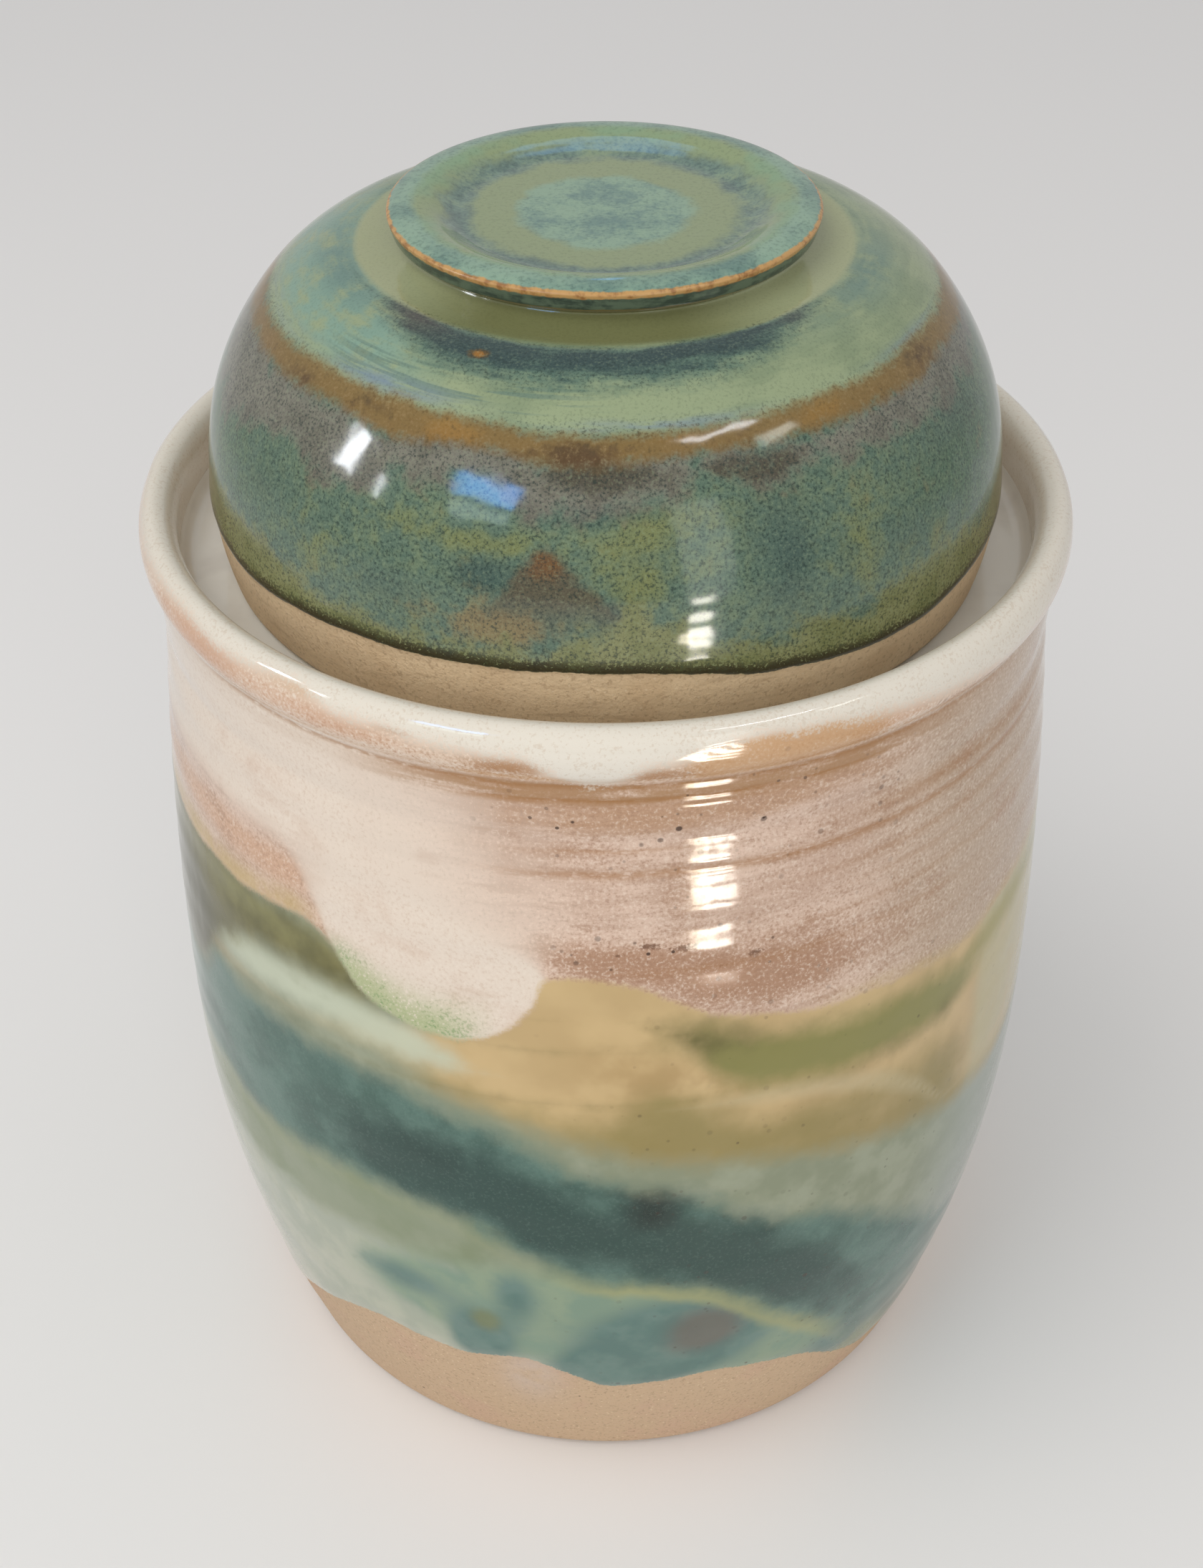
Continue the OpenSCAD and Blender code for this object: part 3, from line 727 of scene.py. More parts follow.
class Finish:
    """A material, with the few ways in which its nodes are made."""

    def __init__(self, name):
        self.material = bpy.data.materials.new(name)
        self.material.use_nodes = True
        self.tree = self.material.node_tree
        self.place = self.node("ShaderNodeTexCoord", output="Object")

    def node(self, kind, settings=None, inputs=None, output=0):
        """One node: its settings are set first, and then each input gets a value or a link."""
        made = self.tree.nodes.new(kind)
        for setting, value in (settings or {}).items():
            setattr(made, setting, value)
        self.feed(made, inputs or {})
        return Wire(self, made.outputs[output])

    def feed(self, node, inputs):
        """Sets or links the inputs of a node."""
        for at, value in inputs.items():
            if isinstance(value, Wire):
                self.tree.links.new(value.socket, node.inputs[at])
            else:
                node.inputs[at].default_value = value

    def field(self, name):
        """One of the piece's own numbers."""
        return self.node("ShaderNodeAttribute", {"attribute_name": name}, output="Fac")

    def step(self, value, low, high):
        """0 below low, 1 above high, and a smooth rise between them."""
        return self.node(
            "ShaderNodeMapRange", {"interpolation_type": "SMOOTHSTEP"}, {"Value": value, "From Min": low, "From Max": high}
        )

    def mix(self, under, over, share):
        """One colour laid over another."""
        return self.node("ShaderNodeMix", {"data_type": "RGBA"}, {0: share, 6: under, 7: over}, 2)

    def shade(self, colour, by, share):
        """A colour multiplied by another."""
        return self.node(
            "ShaderNodeMix", {"data_type": "RGBA", "blend_type": "MULTIPLY"}, {0: share, 6: colour, 7: by}, 2
        )

    def moved(self, stretch, shift):
        """The place on the piece, stretched and shifted."""
        return self.node("ShaderNodeVectorMath", {"operation": "MULTIPLY_ADD"}, {0: self.place, 1: stretch, 2: shift})

    def ring_place(self, pull=0.12):
        """A place whose first part is the distance along the section, and whose others change slowly round the jar."""
        parts = self.node("ShaderNodeVectorMath", {"operation": "SCALE"}, {0: self.place, "Scale": pull})
        apart_xyz = self.tree.nodes.new("ShaderNodeSeparateXYZ")
        self.feed(apart_xyz, {0: parts})
        across = self.field("length") * MM
        return self.node(
            "ShaderNodeCombineXYZ", inputs={0: across, 1: Wire(self, apart_xyz.outputs[0]), 2: Wire(self, apart_xyz.outputs[1])}
        )

    def noise(self, size, seed, detail=2.0, roughness=0.55, at=None):
        """Clouds about size mm wide, mostly from -1 to 1."""
        at = at or self.moved((1, 1, 1), (seed * 0.37, seed * 0.11, seed * 0.23))
        cloud = self.node(
            "ShaderNodeTexNoise", inputs={"Vector": at, "Scale": 1 / (size * MM), "Detail": detail, "Roughness": roughness}
        )
        return cloud * 7.0 - 3.5

    def specks(self, spacing, size, share, seed):
        """Round specks of about size mm, spacing mm apart, in a share of the places that could hold one."""
        at = self.moved((1, 1, 1), (seed * 0.29, seed * 0.17, seed * 0.41))
        cells = self.tree.nodes.new("ShaderNodeTexVoronoi")
        self.feed(cells, {"Vector": at, "Scale": 1 / (spacing * MM)})
        chance = self.node("ShaderNodeSeparateColor", inputs={0: Wire(self, cells.outputs["Color"])})
        near = 1 - self.step(Wire(self, cells.outputs["Distance"]), 0.35 * size / spacing, 0.6 * size / spacing)
        return near * (1 - self.step(chance, share - 0.02, share + 0.02))

    def done(self, inputs, height=None, depth=0.0):
        """Feeds the shader, with a bump of that depth in mm, and gives back the material."""
        shader = self.tree.nodes["Principled BSDF"]
        if height is not None:
            inputs = {**inputs, "Normal": self.node("ShaderNodeBump", inputs={"Height": height, "Distance": depth * MM})}
        self.feed(shader, inputs)
        return self.material


GLAZE_SHINE = {"IOR": 1.5}
GLAZE_ROUGHNESS, CLAY_ROUGHNESS = 0.1, 0.72
GLAZE_GAIN = CLAY_ROUGHNESS - GLAZE_ROUGHNESS


# ---------------------------------------------------------------- clays and glazes


def bare_clay(f, base, flash, seed):
    """Fired clay, as (colour, height): cloudy, with pink flashes, pale grog, and small iron specks."""
    colour = f.mix(paint(base), paint(flash), f.step(f.noise(14, seed, 3), 0.1, 1.4) * 0.5)
    colour = f.mix(colour, paint("8d7153"), f.step(f.noise(0.7, seed + 1, 2), 0.2, 1.4) * 0.4)
    colour = f.mix(colour, paint("dfc9a9"), f.specks(1.1, 0.42, 0.5, seed + 2) * 0.75)
    colour = f.mix(colour, paint("41301f"), f.specks(4.0, 0.6, 0.14, seed + 3) * 0.85)
    height = f.noise(0.5, seed + 4, 3) * 2.0 + f.noise(2.2, seed + 5, 1) * 2.0
    return colour, height


def glaze_height(f, seed):
    """The faint orange peel of a melted glaze."""
    return f.noise(6, seed, 1)


def grained(f, colour, dark, pale, fine, share):
    """A glaze with darker and paler grain in it."""
    colour = f.mix(colour, paint(dark), f.step(fine, 0.05, 1.5) * share)
    return f.mix(colour, paint(pale), f.step(fine * -1, 0.05, 1.5) * share)


def foot_glazes(f, cloud, waver, drift, fine):
    """The lower wall of the crock: blue-green pools, sage, teal, pale, ochre and olive."""
    low = f.mix(paint("a4ab9a"), paint("b5b8a6"), f.step(cloud, -0.9, 1.2))
    seam = f.field("seam") + waver * 0.8
    sage = f.mix(paint("76835f"), paint("858f74"), f.step(drift + cloud * 0.4, -1.0, 1.0))
    low = f.mix(low, sage, f.step(seam + cloud * 1.6, -21, -12) * 0.85)
    sea = f.mix(paint("78927f"), paint("8a9d83"), f.step(cloud, -1.0, 1.0))
    low = f.mix(low, sea, f.step(f.field("sea") + cloud * 0.08, 0.08, 0.6) * 0.95)
    pool = f.mix(paint("4d706a"), paint("607f78"), f.step(cloud, -1.0, 1.0))
    pool = f.mix(pool, paint("625d55"), f.step(f.field("ash") + cloud * 0.06, 0.15, 0.8) * 0.9)
    colour = f.mix(low, pool, f.step(f.field("pool") + cloud * 0.09, 0.12, 0.62) * 0.95)
    colour = f.mix(colour, paint("757a48"), f.step(f.field("lichen") + cloud * 0.06, 0.2, 0.9) * 0.7)
    line = f.step(seam, -5.4, -2.2) * (1 - f.step(seam, -0.6, 2.2))
    colour = f.mix(colour, paint("9fa06e"), line * f.field("gold") * 0.9)

    pale = f.mix(paint("868d74"), paint("979d86"), f.step(cloud, -0.9, 1.2))
    pale = f.mix(pale, paint("98a198"), f.field("mist") * 0.8)
    colour = f.mix(colour, pale, f.step(seam, 2, 14))
    ochre = f.mix(paint("caaf7f"), paint("bfa475"), f.step(drift + cloud * 0.3, -0.9, 1.0))
    ochre = f.mix(ochre, paint("a98a58"), f.field("caramel") * f.step(cloud, -1.8, 0.8) * 0.8)
    ochre = f.mix(ochre, paint("887b43"), f.step(f.field("sour") + cloud * 0.1, 0.05, 1.1) * 0.85)
    ochre = f.mix(ochre, paint("bcb28b"), f.field("oat") * f.step(cloud, -3, 0.5) * 0.9)
    colour = f.mix(colour, ochre, f.step(f.field("ochre") + waver * 1.2, -3.8, 3.8))
    colour = f.mix(colour, paint("c2c9b3"), f.step(f.field("pale") + waver * 1.2, -2.6, 4.6) * 0.88)
    colour = f.mix(colour, paint("c3b692"), f.step(f.field("thread") + waver * 0.4, -1.8, 1.8) * 0.5)

    teal = f.mix(paint("58776d"), paint("44645a"), f.step(cloud + drift * 0.5, -1.2, 1.0))
    teal = f.mix(teal, paint("29463f"), f.step(f.field("deep") + cloud * 0.1, 0.3, 0.95))
    teal = f.mix(teal, paint("0c1e16"), f.step(f.field("spot") + cloud * 0.12, 0.1, 1.1) * 0.85)
    teal = grained(f, teal, "27423b", "789287", fine, 0.14)
    colour = f.mix(colour, teal, f.step(f.field("teal") + waver * 1.4, -3.6, 3.8))
    olive = f.mix(paint("5b5722"), paint("706a34"), f.step(cloud, -1.0, 1.0))
    olive = f.mix(olive, paint("858346"), f.step(f.field("leaf") + cloud * 0.08, 0.0, 0.8) * 0.9)
    olive = f.mix(olive, paint("9f965a"), f.field("sunny"))
    colour = f.mix(colour, olive, f.step(f.field("olive") + waver * 1.2, -4.0, 3.4) * 0.95)
    return f.mix(colour, paint("3d3c1a"), f.step(f.field("dusk") + cloud * 0.08, 0.1, 0.8) * 0.9)


def shoulder_glazes(f, cloud, waver, drift, fine, rings, fibre):
    """The upper wall of the crock: beige, pink and peach under cream, with darker rings where the glaze is thin."""
    beige = f.mix(paint("d6bba9"), paint("c4a794"), f.step(drift + rings * 0.8, -1.0, 1.2))
    beige = f.mix(beige, paint("b8a28c"), f.step(f.field("haze") + cloud * 0.06, 0.05, 1.0) * 0.9)
    beige = f.mix(beige, paint("a47a5c"), f.step(f.field("pink") + cloud * 0.2 + fine * 0.16, 0.05, 1.1) * 0.85)
    beige = f.mix(beige, paint("5f3a22"), f.step(f.field("crumb") + fine * 0.25, 0.4, 1.0) * 0.85)
    beige = f.mix(beige, paint("b28a69"), f.step(f.field("tawny") + cloud * 0.12 + rings * 0.1, 0.15, 1.0) * 0.8)
    beige = f.mix(beige, paint("cca487"), f.step(f.field("peach") + cloud * 0.1, 0.15, 1.0) * 0.8)
    beige = f.mix(beige, paint("b18f78"), f.step(cloud + rings * 0.7 + fine * 0.3, 0.3, 2.0) * 0.5)
    beige = grained(f, beige, "96715a", "ecdccd", fine, 0.42)
    cream = f.mix(paint("e1d3c5"), paint("d5bfae"), f.step(cloud + rings * 0.5 + drift * 0.4, 0.1, 2.2) * 0.6)
    cream = grained(f, cream, "c2a48d", "ebe0d3", fine, 0.32)
    melt = f.field("melt")
    beige = f.mix(beige, cream, f.step(f.field("cream") + waver * 0.4 + fine * melt * 0.25, melt * -1, melt))
    beige = f.mix(beige, paint("a6b182"), f.field("fringe") * f.step(fine + cloud * 0.3, -2.4, -0.4) * 0.9)
    beige = f.mix(beige, paint("7d9a68"), f.field("fringe") * f.step(fine * 0.8 + cloud * 0.6, 0.0, 0.9) * 0.8)
    beige = f.mix(beige, paint("bfa56c"), f.field("yolk") * f.step(cloud, -2.6, 0.6) * 0.8)
    beige = f.mix(beige, paint("a67e55"), f.field("groove") * f.step(rings + fine * 0.3, -2.2, 0.4) * 0.85)
    return f.mix(beige, paint("9c6a34"), f.field("ring") * f.step(fibre + rings * 0.4, -2.0, 0.2) * 0.85)


def rolled_rim(f, cloud, fine):
    """The rolled rim under its white lip: pinkish and mottled, with tan where the glaze broke."""
    roll = grained(f, paint("d9c1ac"), "b08c71", "e8dccf", fine + cloud * 0.4, 0.6)
    roll = f.mix(roll, paint("c6987a"), f.step(f.field("blush") + fine * 0.14 + cloud * 0.1, 0.15, 1.0) * 0.7)
    roll = f.mix(roll, paint("c2935f"), f.step(f.field("tan") + fine * 0.16 + cloud * 0.1, 0.1, 0.9) * 0.75)
    return f.mix(roll, paint("a3713f"), f.step(f.field("scorch") + fine * 0.16 + cloud * 0.1, 0.05, 1.1) * 0.85)


def crock_glaze():
    """The crock: bare foot, the poured glazes, the rolled rim and the white lining."""
    f = Finish("crock_glaze")
    waver = f.noise(5, 1, 3) * 0.5
    fine = f.noise(0.6, 2, 2, 0.65)
    cloud = f.noise(9, 3, 3)
    drift = f.noise(20, 4, 2)
    rings = f.noise(1.6, 5, 3, at=f.ring_place())
    fibre = f.noise(0.6, 6, 2, at=f.ring_place(0.3))

    clay, clay_height = bare_clay(f, "c9ad8e", "cba78f", 10)
    clay = f.mix(clay, paint("cbb8ab"), f.field("rose") * f.step(cloud, -2, 0.5) * 0.8)
    colour = foot_glazes(f, cloud, waver, drift, fine)
    shoulder = shoulder_glazes(f, cloud, waver, drift, fine, rings, fibre)
    colour = f.mix(colour, shoulder, f.step(f.field("upper") + waver * 0.5 + fine * 0.25, -0.9, 0.9))
    colour = f.mix(colour, rolled_rim(f, cloud, fine), f.field("roll"))
    dots = f.specks(3.2, 1.1, 0.4, 30) + f.specks(2.0, 0.7, 0.3, 31)
    colour = f.mix(colour, paint("3d2413"), dots * f.step(f.field("dots") + cloud * 0.2, 0.1, 1.0) * 0.9)

    glazed = f.step(f.field("edge") + fine * 0.25, -0.25, 0.3)
    colour = f.mix(clay, colour, glazed)
    lip = f.step(f.field("lip") + waver * 0.3 + fine * 1.0 + cloud * 0.5, -1.6, 1.6)
    white = f.mix(paint("e2dcd1"), paint("d3c6b6"), f.step(fine + cloud * 0.3, 0.0, 1.4) * 0.7)
    colour = f.mix(colour, white, lip)
    inner = f.step(f.field("lip"), 12, 16)
    glazed = glazed + inner - glazed * inner
    height = clay_height + (glaze_height(f, 7) - clay_height) * glazed
    return f.done({**GLAZE_SHINE, "Base Color": colour, "Roughness": CLAY_ROUGHNESS - glazed * GLAZE_GAIN}, height, 0.014)


def white_glaze():
    """The white lining of the moat and the mouth, a little warmer where it thins over the collar's lip."""
    f = Finish("white_glaze")
    fine = f.noise(1.4, 1, 3, 0.6)
    colour = f.mix(paint("e7e6e0"), paint("dddbd5"), f.step(f.noise(12, 2, 3), -0.4, 1.4))
    colour = f.mix(colour, paint("c9a57e"), f.step(f.field("thin") + fine * 0.12, 0.35, 1.0) * 0.55)
    colour = f.mix(colour, paint("8a6a4c"), f.specks(7, 0.5, 0.25, 3) * 0.6)
    return f.done({**GLAZE_SHINE, "Base Color": colour, "Roughness": GLAZE_ROUGHNESS}, glaze_height(f, 4), 0.014)


def peppered(f, colour, amount, fine, seed):
    """The blue-black freckles that crowd in the lid's green glaze, and the paler grain between them."""
    colour = f.mix(colour, paint("93a585"), f.step(fine * -1, 0.1, 1.5) * amount * 0.26)
    colour = f.mix(colour, paint("1c302b"), f.step(fine, 0.0, 1.2) * amount * 0.74)
    return f.mix(colour, paint("1c2a27"), f.specks(0.9, 0.42, 0.5, seed) * amount * 0.4)


def lid_side(f, fine, grain, cloud):
    """The lid's side: mottled teal with slate, moss and a rust flame, a painted brown reflection low at the front left,
    olive below and grey-purple above.
    """
    teal = f.mix(paint("556c5d"), paint("697b61"), f.step(grain * 0.7 + cloud * 0.7, -0.9, 1.1))
    teal = f.mix(teal, paint("3f6047"), f.field("fern") * f.step(cloud, -1.6, 0.6) * 0.8)
    teal = f.mix(teal, paint("3a524e"), f.step(f.field("slate") + cloud * 0.22 + grain * 0.08, 0.12, 1.05) * 0.85)
    teal = f.mix(teal, paint("747a4a"), f.step(f.field("moss") + cloud * 0.22 + grain * 0.08, 0.12, 1.05) * 0.85)
    # Painted brown reflection low on the front left, laid over the teal
    teal = f.mix(teal, paint("86734c"), f.step(f.field("tawny") + cloud * 0.2 + grain * 0.1, 0.15, 0.8) * 0.85)
    rust = f.mix(paint("574d3c"), paint("6b4521"), f.step(f.field("ember") + grain * 0.1, 0.2, 1.1))
    climb = f.field("rust") + cloud * 0.3 + grain * 0.4
    teal = f.mix(teal, rust, f.step(climb, -1.0, 1.6) * (1 - f.step(f.field("length") * -1 + cloud * 0.6, -29, -21)) * 0.9)
    olive = f.mix(paint("81845a"), paint("70754a"), f.step(cloud, -1.0, 1.0))
    colour = f.mix(teal, olive, f.step(f.field("olive") + cloud * 1.6 + grain * 0.7, -2.4, 1.8))
    purple = f.mix(paint("7b776d"), paint("67635b"), f.step(cloud + grain * 0.4, -0.6, 1.2))
    purple = f.mix(purple, paint("43382c"), f.step(f.field("umber") + cloud * 0.1 + grain * 0.08, 0.12, 0.9) * 0.85)
    return f.mix(colour, purple, f.step(f.field("purple") + cloud * 1.6 + grain * 0.8, -2.8, 1.6) * 0.9)


def lid_top(f, grain, cloud, drift, brushed, combed):
    """The lid's top: sage, frosted at the left, with blue-grey streaks and a painted sky reflection on the shoulder, a
    dark lens before the foot, painted shade beside the foot, and an olive cove with painted light, darkest at its
    front.
    """
    sage = f.mix(paint("93a17f"), paint("839374"), f.step(drift + brushed * 0.4, -0.4, 1.4))
    sage = f.mix(sage, paint("7f9f90"), f.field("frost") * f.step(cloud + brushed * 0.6, -1.6, 0.8))
    sage = f.mix(sage, paint("5f7a72"), f.field("combed") * f.step(combed, 0.1, 1.0) * 0.6)
    # Blue-grey glaze streaks, and at the front shoulder a painted blue reflection of the sky
    top = f.mix(sage, paint("7488a0"), f.field("bloom") * f.step(brushed, -1.4, 0.8) * 0.8)
    # Darker blue-teal beside the foot: partly lens glaze, partly painted shade beside the foot
    top = f.mix(top, paint("5f7f7a"), f.field("ringed") * f.step(cloud + brushed * 0.5, -2.2, 0.8) * 0.8)
    lens = f.mix(paint("587467"), paint("33494a"), f.step(f.field("lens") + brushed * 0.9 + cloud * 0.6, -0.4, 3.4))
    lens = f.mix(lens, paint("4d4440"), f.field("mauve") * 0.75)
    top = f.mix(top, lens, f.step(f.field("lens") + brushed * 0.5 + grain * 0.4, -2.2, 1.8))
    spot = f.step(f.field("spot") + grain * 0.14, 0.3, 0.75)
    top = f.mix(top, f.mix(paint("5f4a26"), paint("96682a"), f.step(f.field("spot"), 0.6, 0.95)), spot)
    # The cove's olive with painted light: dark at the front, paler towards the sides
    cove = f.mix(paint("777b54"), paint("a1a883"), f.field("cove_light"))
    return f.mix(top, cove, f.field("cove"))


def lid_glaze():
    """The lid's bowl: bare rim, a dark rolled edge, its mottled side, an ochre band on the shoulder, and its top."""
    f = Finish("lid_glaze")
    up = f.field("length")
    fine = f.noise(0.5, 1, 2, 0.7)
    grain = f.noise(1.7, 2, 3, 0.6)
    cloud = f.noise(6, 3, 3)
    drift = f.noise(15, 4, 2)
    brushed = f.noise(1.5, 5, 3, at=f.ring_place(0.16))
    combed = f.noise(0.8, 8, 1, at=f.ring_place(0.05))

    clay, clay_height = bare_clay(f, "d6bd9a", "c6a984", 10)
    clay = f.mix(clay, paint("b39a7a"), f.step(brushed, 0.1, 1.6) * 0.5)
    side = lid_side(f, fine, grain, cloud)
    top = lid_top(f, grain, cloud, drift, brushed, combed)
    over = f.step(up + cloud * 0.3 + grain * 0.2, 50.5, 54.0)
    colour = f.mix(side, top, over)
    calm = f.step(up, 52, 56)
    pepper = 0.95 - calm * 0.72 + f.step(f.field("lens"), -2.0, 1.0) * 0.55 - f.field("cove") * 0.1
    colour = peppered(f, colour, pepper, fine, 6)

    band = f.mix(paint("7f6435"), paint("573d20"), f.step(f.field("burnt") + cloud * 0.2 + grain * 0.15, 0.25, 1.0))
    band = f.mix(band, paint("916c2f"), f.step(f.field("honey") + cloud * 0.15 + grain * 0.15, 0.3, 1.0) * 0.9)
    band = grained(f, band, "4f4226", "9c8157", fine * 0.6 + grain * 0.5, 0.55)
    inside = f.field("band") + grain * 0.4 + cloud * 0.3 + fine * 0.15
    colour = f.mix(colour, band, f.step(inside, -1.3, 1.3) * 0.9)

    edge = f.field("edge") + grain * 0.14
    crowd = f.step(edge, -0.1, 0.2) * (1 - f.step(edge + fine * 1.6 + cloud * 0.6, 0.8, 4.8))
    colour = f.mix(colour, paint("261d12"), crowd * f.step(fine + (1 - f.step(edge, 0.3, 3.0)) * 1.8, -0.2, 0.9) * 0.88)
    glazed = f.step(edge, -0.15, 0.15)
    colour = f.mix(clay, colour, glazed)
    inner = f.field("inner")
    colour = f.mix(colour, f.mix(paint("9fb09a"), paint("8aa092"), f.step(drift, -0.6, 1.0)), inner)
    glazed = glazed + inner - glazed * inner
    height = clay_height + (glaze_height(f, 7) - clay_height) * glazed
    return f.done({**GLAZE_SHINE, "Base Color": colour, "Roughness": CLAY_ROUGHNESS - glazed * GLAZE_GAIN}, height, 0.014)


def foot_glaze():
    """The lid's foot: a dark band under a golden line where the glaze breaks on the sharp edge, a blue-green crest,
    and rings of blue-grey, sage and pale green in the dish."""
    f = Finish("foot_glaze")
    past, radius = f.field("past"), f.field("out")
    fine = f.noise(0.7, 1, 2, 0.6)
    grain = f.noise(1.7, 2, 3, 0.6)
    cloud = f.noise(5, 3, 3)
    drift = f.noise(12, 4, 2)
    brushed = f.noise(1.3, 5, 3, at=f.ring_place(0.25))
    wander = radius + cloud * 0.6 + drift * 0.6 + grain * 0.2
    colour = f.mix(paint("8aa792"), paint("668681"), f.step(cloud * 0.7 + drift * 0.9 + grain * 0.6 + fine * 0.4, -1.2, 2.0))
    colour = f.mix(colour, paint("8c9a77"), f.step(wander, 13.0, 15.8))
    blue = f.mix(paint("7b9488"), paint("5a706d"), f.step(grain * 0.5 + cloud * 0.5 + drift * 0.5 + fine * 0.3, -1.4, 1.4))
    colour = f.mix(colour, blue, f.step(wander, 20.6, 23.8) * (1 - f.step(wander, 25.4, 29.4)) * f.step(cloud * 0.6 + drift + fine * 0.3, -2.6, 0.6))
    sage = f.mix(paint("83a082"), paint("8c9c77"), f.step(drift, -0.8, 0.8))
    colour = f.mix(colour, sage, f.step(wander, 26.4, 29.4))
    crest = f.mix(paint("8ba996"), paint("64847d"), f.step(grain * 0.35 + fine * 0.25 + cloud * 0.3 + drift * 1.1 + brushed * 0.2, -1.6, 2.0))
    colour = f.mix(colour, crest, f.step(radius + cloud * 0.3 + brushed * 0.2, 30.2, 32.4))
    colour = peppered(f, colour, f.step(radius, 28, 32) * 0.12 + 0.2, fine, 6)
    dark = f.mix(paint("5b6b5a"), paint("3a4840"), f.step(brushed + grain * 0.5, -0.8, 1.0))
    colour = f.mix(colour, dark, 1 - f.step(past, -0.55, -0.35))
    colour = f.mix(colour, paint("7c6c44"), 1 - f.step(past + brushed * 0.12, -2.9, -2.5))
    gold = f.step(past + grain * 0.12, -0.75, -0.45) * (1 - f.step(past + grain * 0.15, 0.55, 0.95))
    colour = f.mix(colour, f.mix(paint("c1975f"), paint("96683a"), f.step(grain, -0.5, 1.2)), gold)
    return f.done(
        {**GLAZE_SHINE, "Base Color": colour, "Roughness": GLAZE_ROUGHNESS + gold * 0.2}, glaze_height(f, 7), 0.014
    )


def weight_clay():
    """The weights: smooth unglazed stoneware."""
    f = Finish("weight_clay")
    colour, height = bare_clay(f, "bd9f80", "cba78f", 20)
    return f.done({**GLAZE_SHINE, "Base Color": colour, "Roughness": CLAY_ROUGHNESS}, height, 0.03)


# ---------------------------------------------------------------- the stage


def plain(name, colour, roughness):
    """A plain material for the stage, with a faint cloud in it."""
    f = Finish(name)
    cloud = f.mix(paint(colour), paint("ffffff"), f.step(f.noise(400, 1), -2, 2) * 0.04)
    return f.done({"Base Color": cloud, "Roughness": roughness})


def table_top():
    """A wide pale floor at the height on which the jar stands."""
    half = 6000
    points = np.array([(-half, -half, -0.1), (half, -half, -0.1), (half, half, -0.1), (-half, half, -0.1)])
    made = piece("table_top", points, [np.array([[0, 1, 2, 3]])], {})
    made.data.materials.append(plain("table_paint", "f0f0f2", 0.5))


def camera():
    """The photograph's viewpoint: above and before the jar, looking down on it."""
    lens, sensor, tall = 3100.0, 36.0, 2190.0
    data = bpy.data.cameras.new("view")
    data.sensor_width = sensor
    data.lens = lens / tall * sensor
    data.clip_start, data.clip_end = 10 * MM, 30000 * MM
    made = bpy.data.objects.new("view", data)
    made.location = (-0.96 * MM, -346.9 * MM, 377.95 * MM)
    tilt = math.radians(90 - 37.176)
    roll = math.radians(-0.278)
    made.rotation_mode = "QUATERNION"
    made.rotation_quaternion = (Matrix.Rotation(tilt, 3, "X") @ Matrix.Rotation(roll, 3, "Z")).to_quaternion()
    bpy.context.scene.collection.objects.link(made)
    bpy.context.scene.camera = made


def lamp(name, azimuth, elevation, distance, size, strength, colour, target=(0, 0, 150), shows=False):
    """A soft box in a direction from its target, facing it. Its strength is the brightness of its face, where 1 is
    white, and its power is that brightness times pi times its area. One that shows is seen in the gloss alone, and
    any other only lights."""
    a, e = math.radians(azimuth), math.radians(elevation)
    away = np.array([math.sin(a) * math.cos(e), -math.cos(a) * math.cos(e), math.sin(e)])
    data = bpy.data.lights.new(name, "AREA")
    data.shape = "RECTANGLE"
    data.size, data.size_y = size[0] * MM, size[1] * MM
    data.energy = strength * math.pi * data.size * data.size_y
    data.color = paint(colour)[:3]
    made = bpy.data.objects.new(name, data)
    made.location = (np.array(target) + away * distance) * MM
    made.rotation_mode = "QUATERNION"
    made.rotation_quaternion = Vector(-away).to_track_quat("-Z", "Y")
    made.visible_camera = False
    made.visible_glossy = shows
    made.visible_diffuse = not shows
    bpy.context.scene.collection.objects.link(made)


# The panes of the window at the right, as the crock and the lid show them: elevation, height and brightness
CROCK_PANES = ((-21.3, 7, 24), (-23.7, 2.4, 24), (-25.2, 2.4, 24), (-26.7, 2.4, 24), (-30, 16, 26), (-35.3, 13, 15))
LID_PANES = ((-38.5, 15, 24), (-32, 14, 22), (-24.5, 22, 26), (-17, 14, 24), (-8.5, 14, 20))


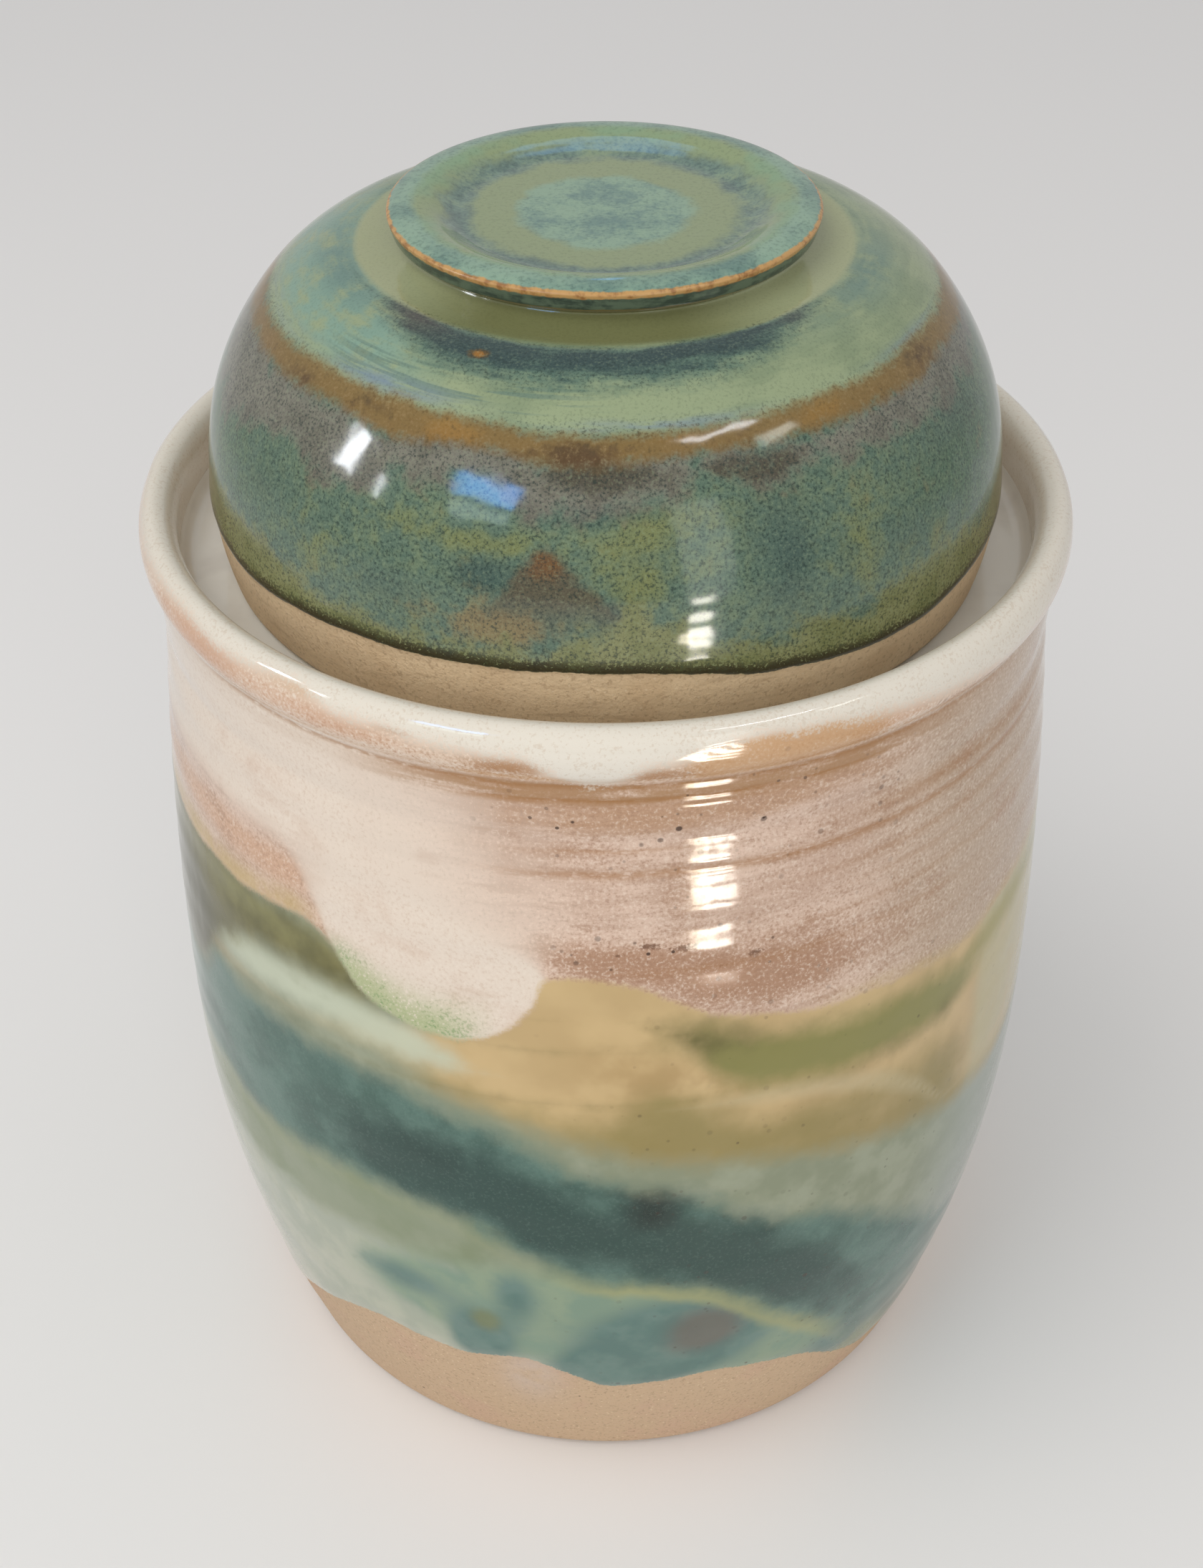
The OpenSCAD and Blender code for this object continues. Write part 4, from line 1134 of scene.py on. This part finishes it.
def lights():
    """An even pale room, two broad soft boxes for its daylight, and the windows that show in the glaze."""
    world = bpy.data.worlds.new("room")
    world.use_nodes = True
    world.node_tree.nodes["Background"].inputs["Color"].default_value = (1.0, 0.985, 0.96, 1)
    world.node_tree.nodes["Background"].inputs["Strength"].default_value = 0.55
    bpy.context.scene.world = world
    lamp("overhead", -55, 58, 1500, (1100, 1100), 1.95, "fffdf8")
    lamp("front", 2, 23, 1500, (900, 900), 2.5, "fffdf8")
    lamp("window_left", -80, 24, 1500, (150, 330), 26, "f4f8ff", shows=True)
    lamp("window_left_strip", -67, 20, 1500, (50, 200), 16, "f4f8ff", shows=True)
    lamp("sky_pane", -36, 33, 1500, (400, 170), 15, "5f9ee8", shows=True)
    lamp("wall_pane", -36, 25, 1500, (400, 140), 5, "b4cccc", shows=True)
    lamp("skylight", 47, 55, 1500, (520, 70), 14, "f4f8ff", shows=True)
    lamp("window_right", 63, 43, 1500, (260, 120), 9, "dce4dc", shows=True)
    lamp("lid_pane_pale", 27, 12, 700, (170, 520), 1.9, "e8ece8", target=(12.5, -67.4, 196), shows=True)
    lamp("sky_in_dish", 156, 74, 45, (5, 9), 3.2, "62aaf2", target=(-4, 28, 234.6), shows=True)
    lamp("pane_side", 28.5, -26, 200, (4, 34), 16, "fff3dc", target=(14, -78.8, 172), shows=True)
    for number, (rise, tall, strength) in enumerate(CROCK_PANES):
        lamp(f"crock_pane_{number}", 22, rise, 200, (17, tall), strength, "fff3dc", target=(14, -78.8, 172), shows=True)
    for number, (rise, tall, strength) in enumerate(LID_PANES):
        lamp(f"lid_pane_{number}", 26, rise, 240, (30, tall), strength, "fff8ec", target=(12.5, -67.4, 196), shows=True)


# ---------------------------------------------------------------- putting it together


def dress(made, body, node, material):
    """Gives a piece its material, hangs it under the empty of the body it rides on, and hides the node of the solid
    that it stands for.
    """
    made.data.materials.append(material)
    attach(made, body)
    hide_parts(node)


camera()
dress(crock(), "crock", "crock_body", crock_glaze())
dress(moat_ring(), "crock", "moat_ring", white_glaze())
dress(lid_bowl(), "lid", "lid_bowl", lid_glaze())
dress(lid_foot(), "lid", "lid_foot", foot_glaze())
clay = weight_clay()
dress(weight("weight_near", -1), "front_weight", "weight_front", clay)
dress(weight("weight_far", 1), "back_weight", "weight_back", clay)
table_top()
lights()

bpy.context.scene.view_settings.view_transform = "Standard"
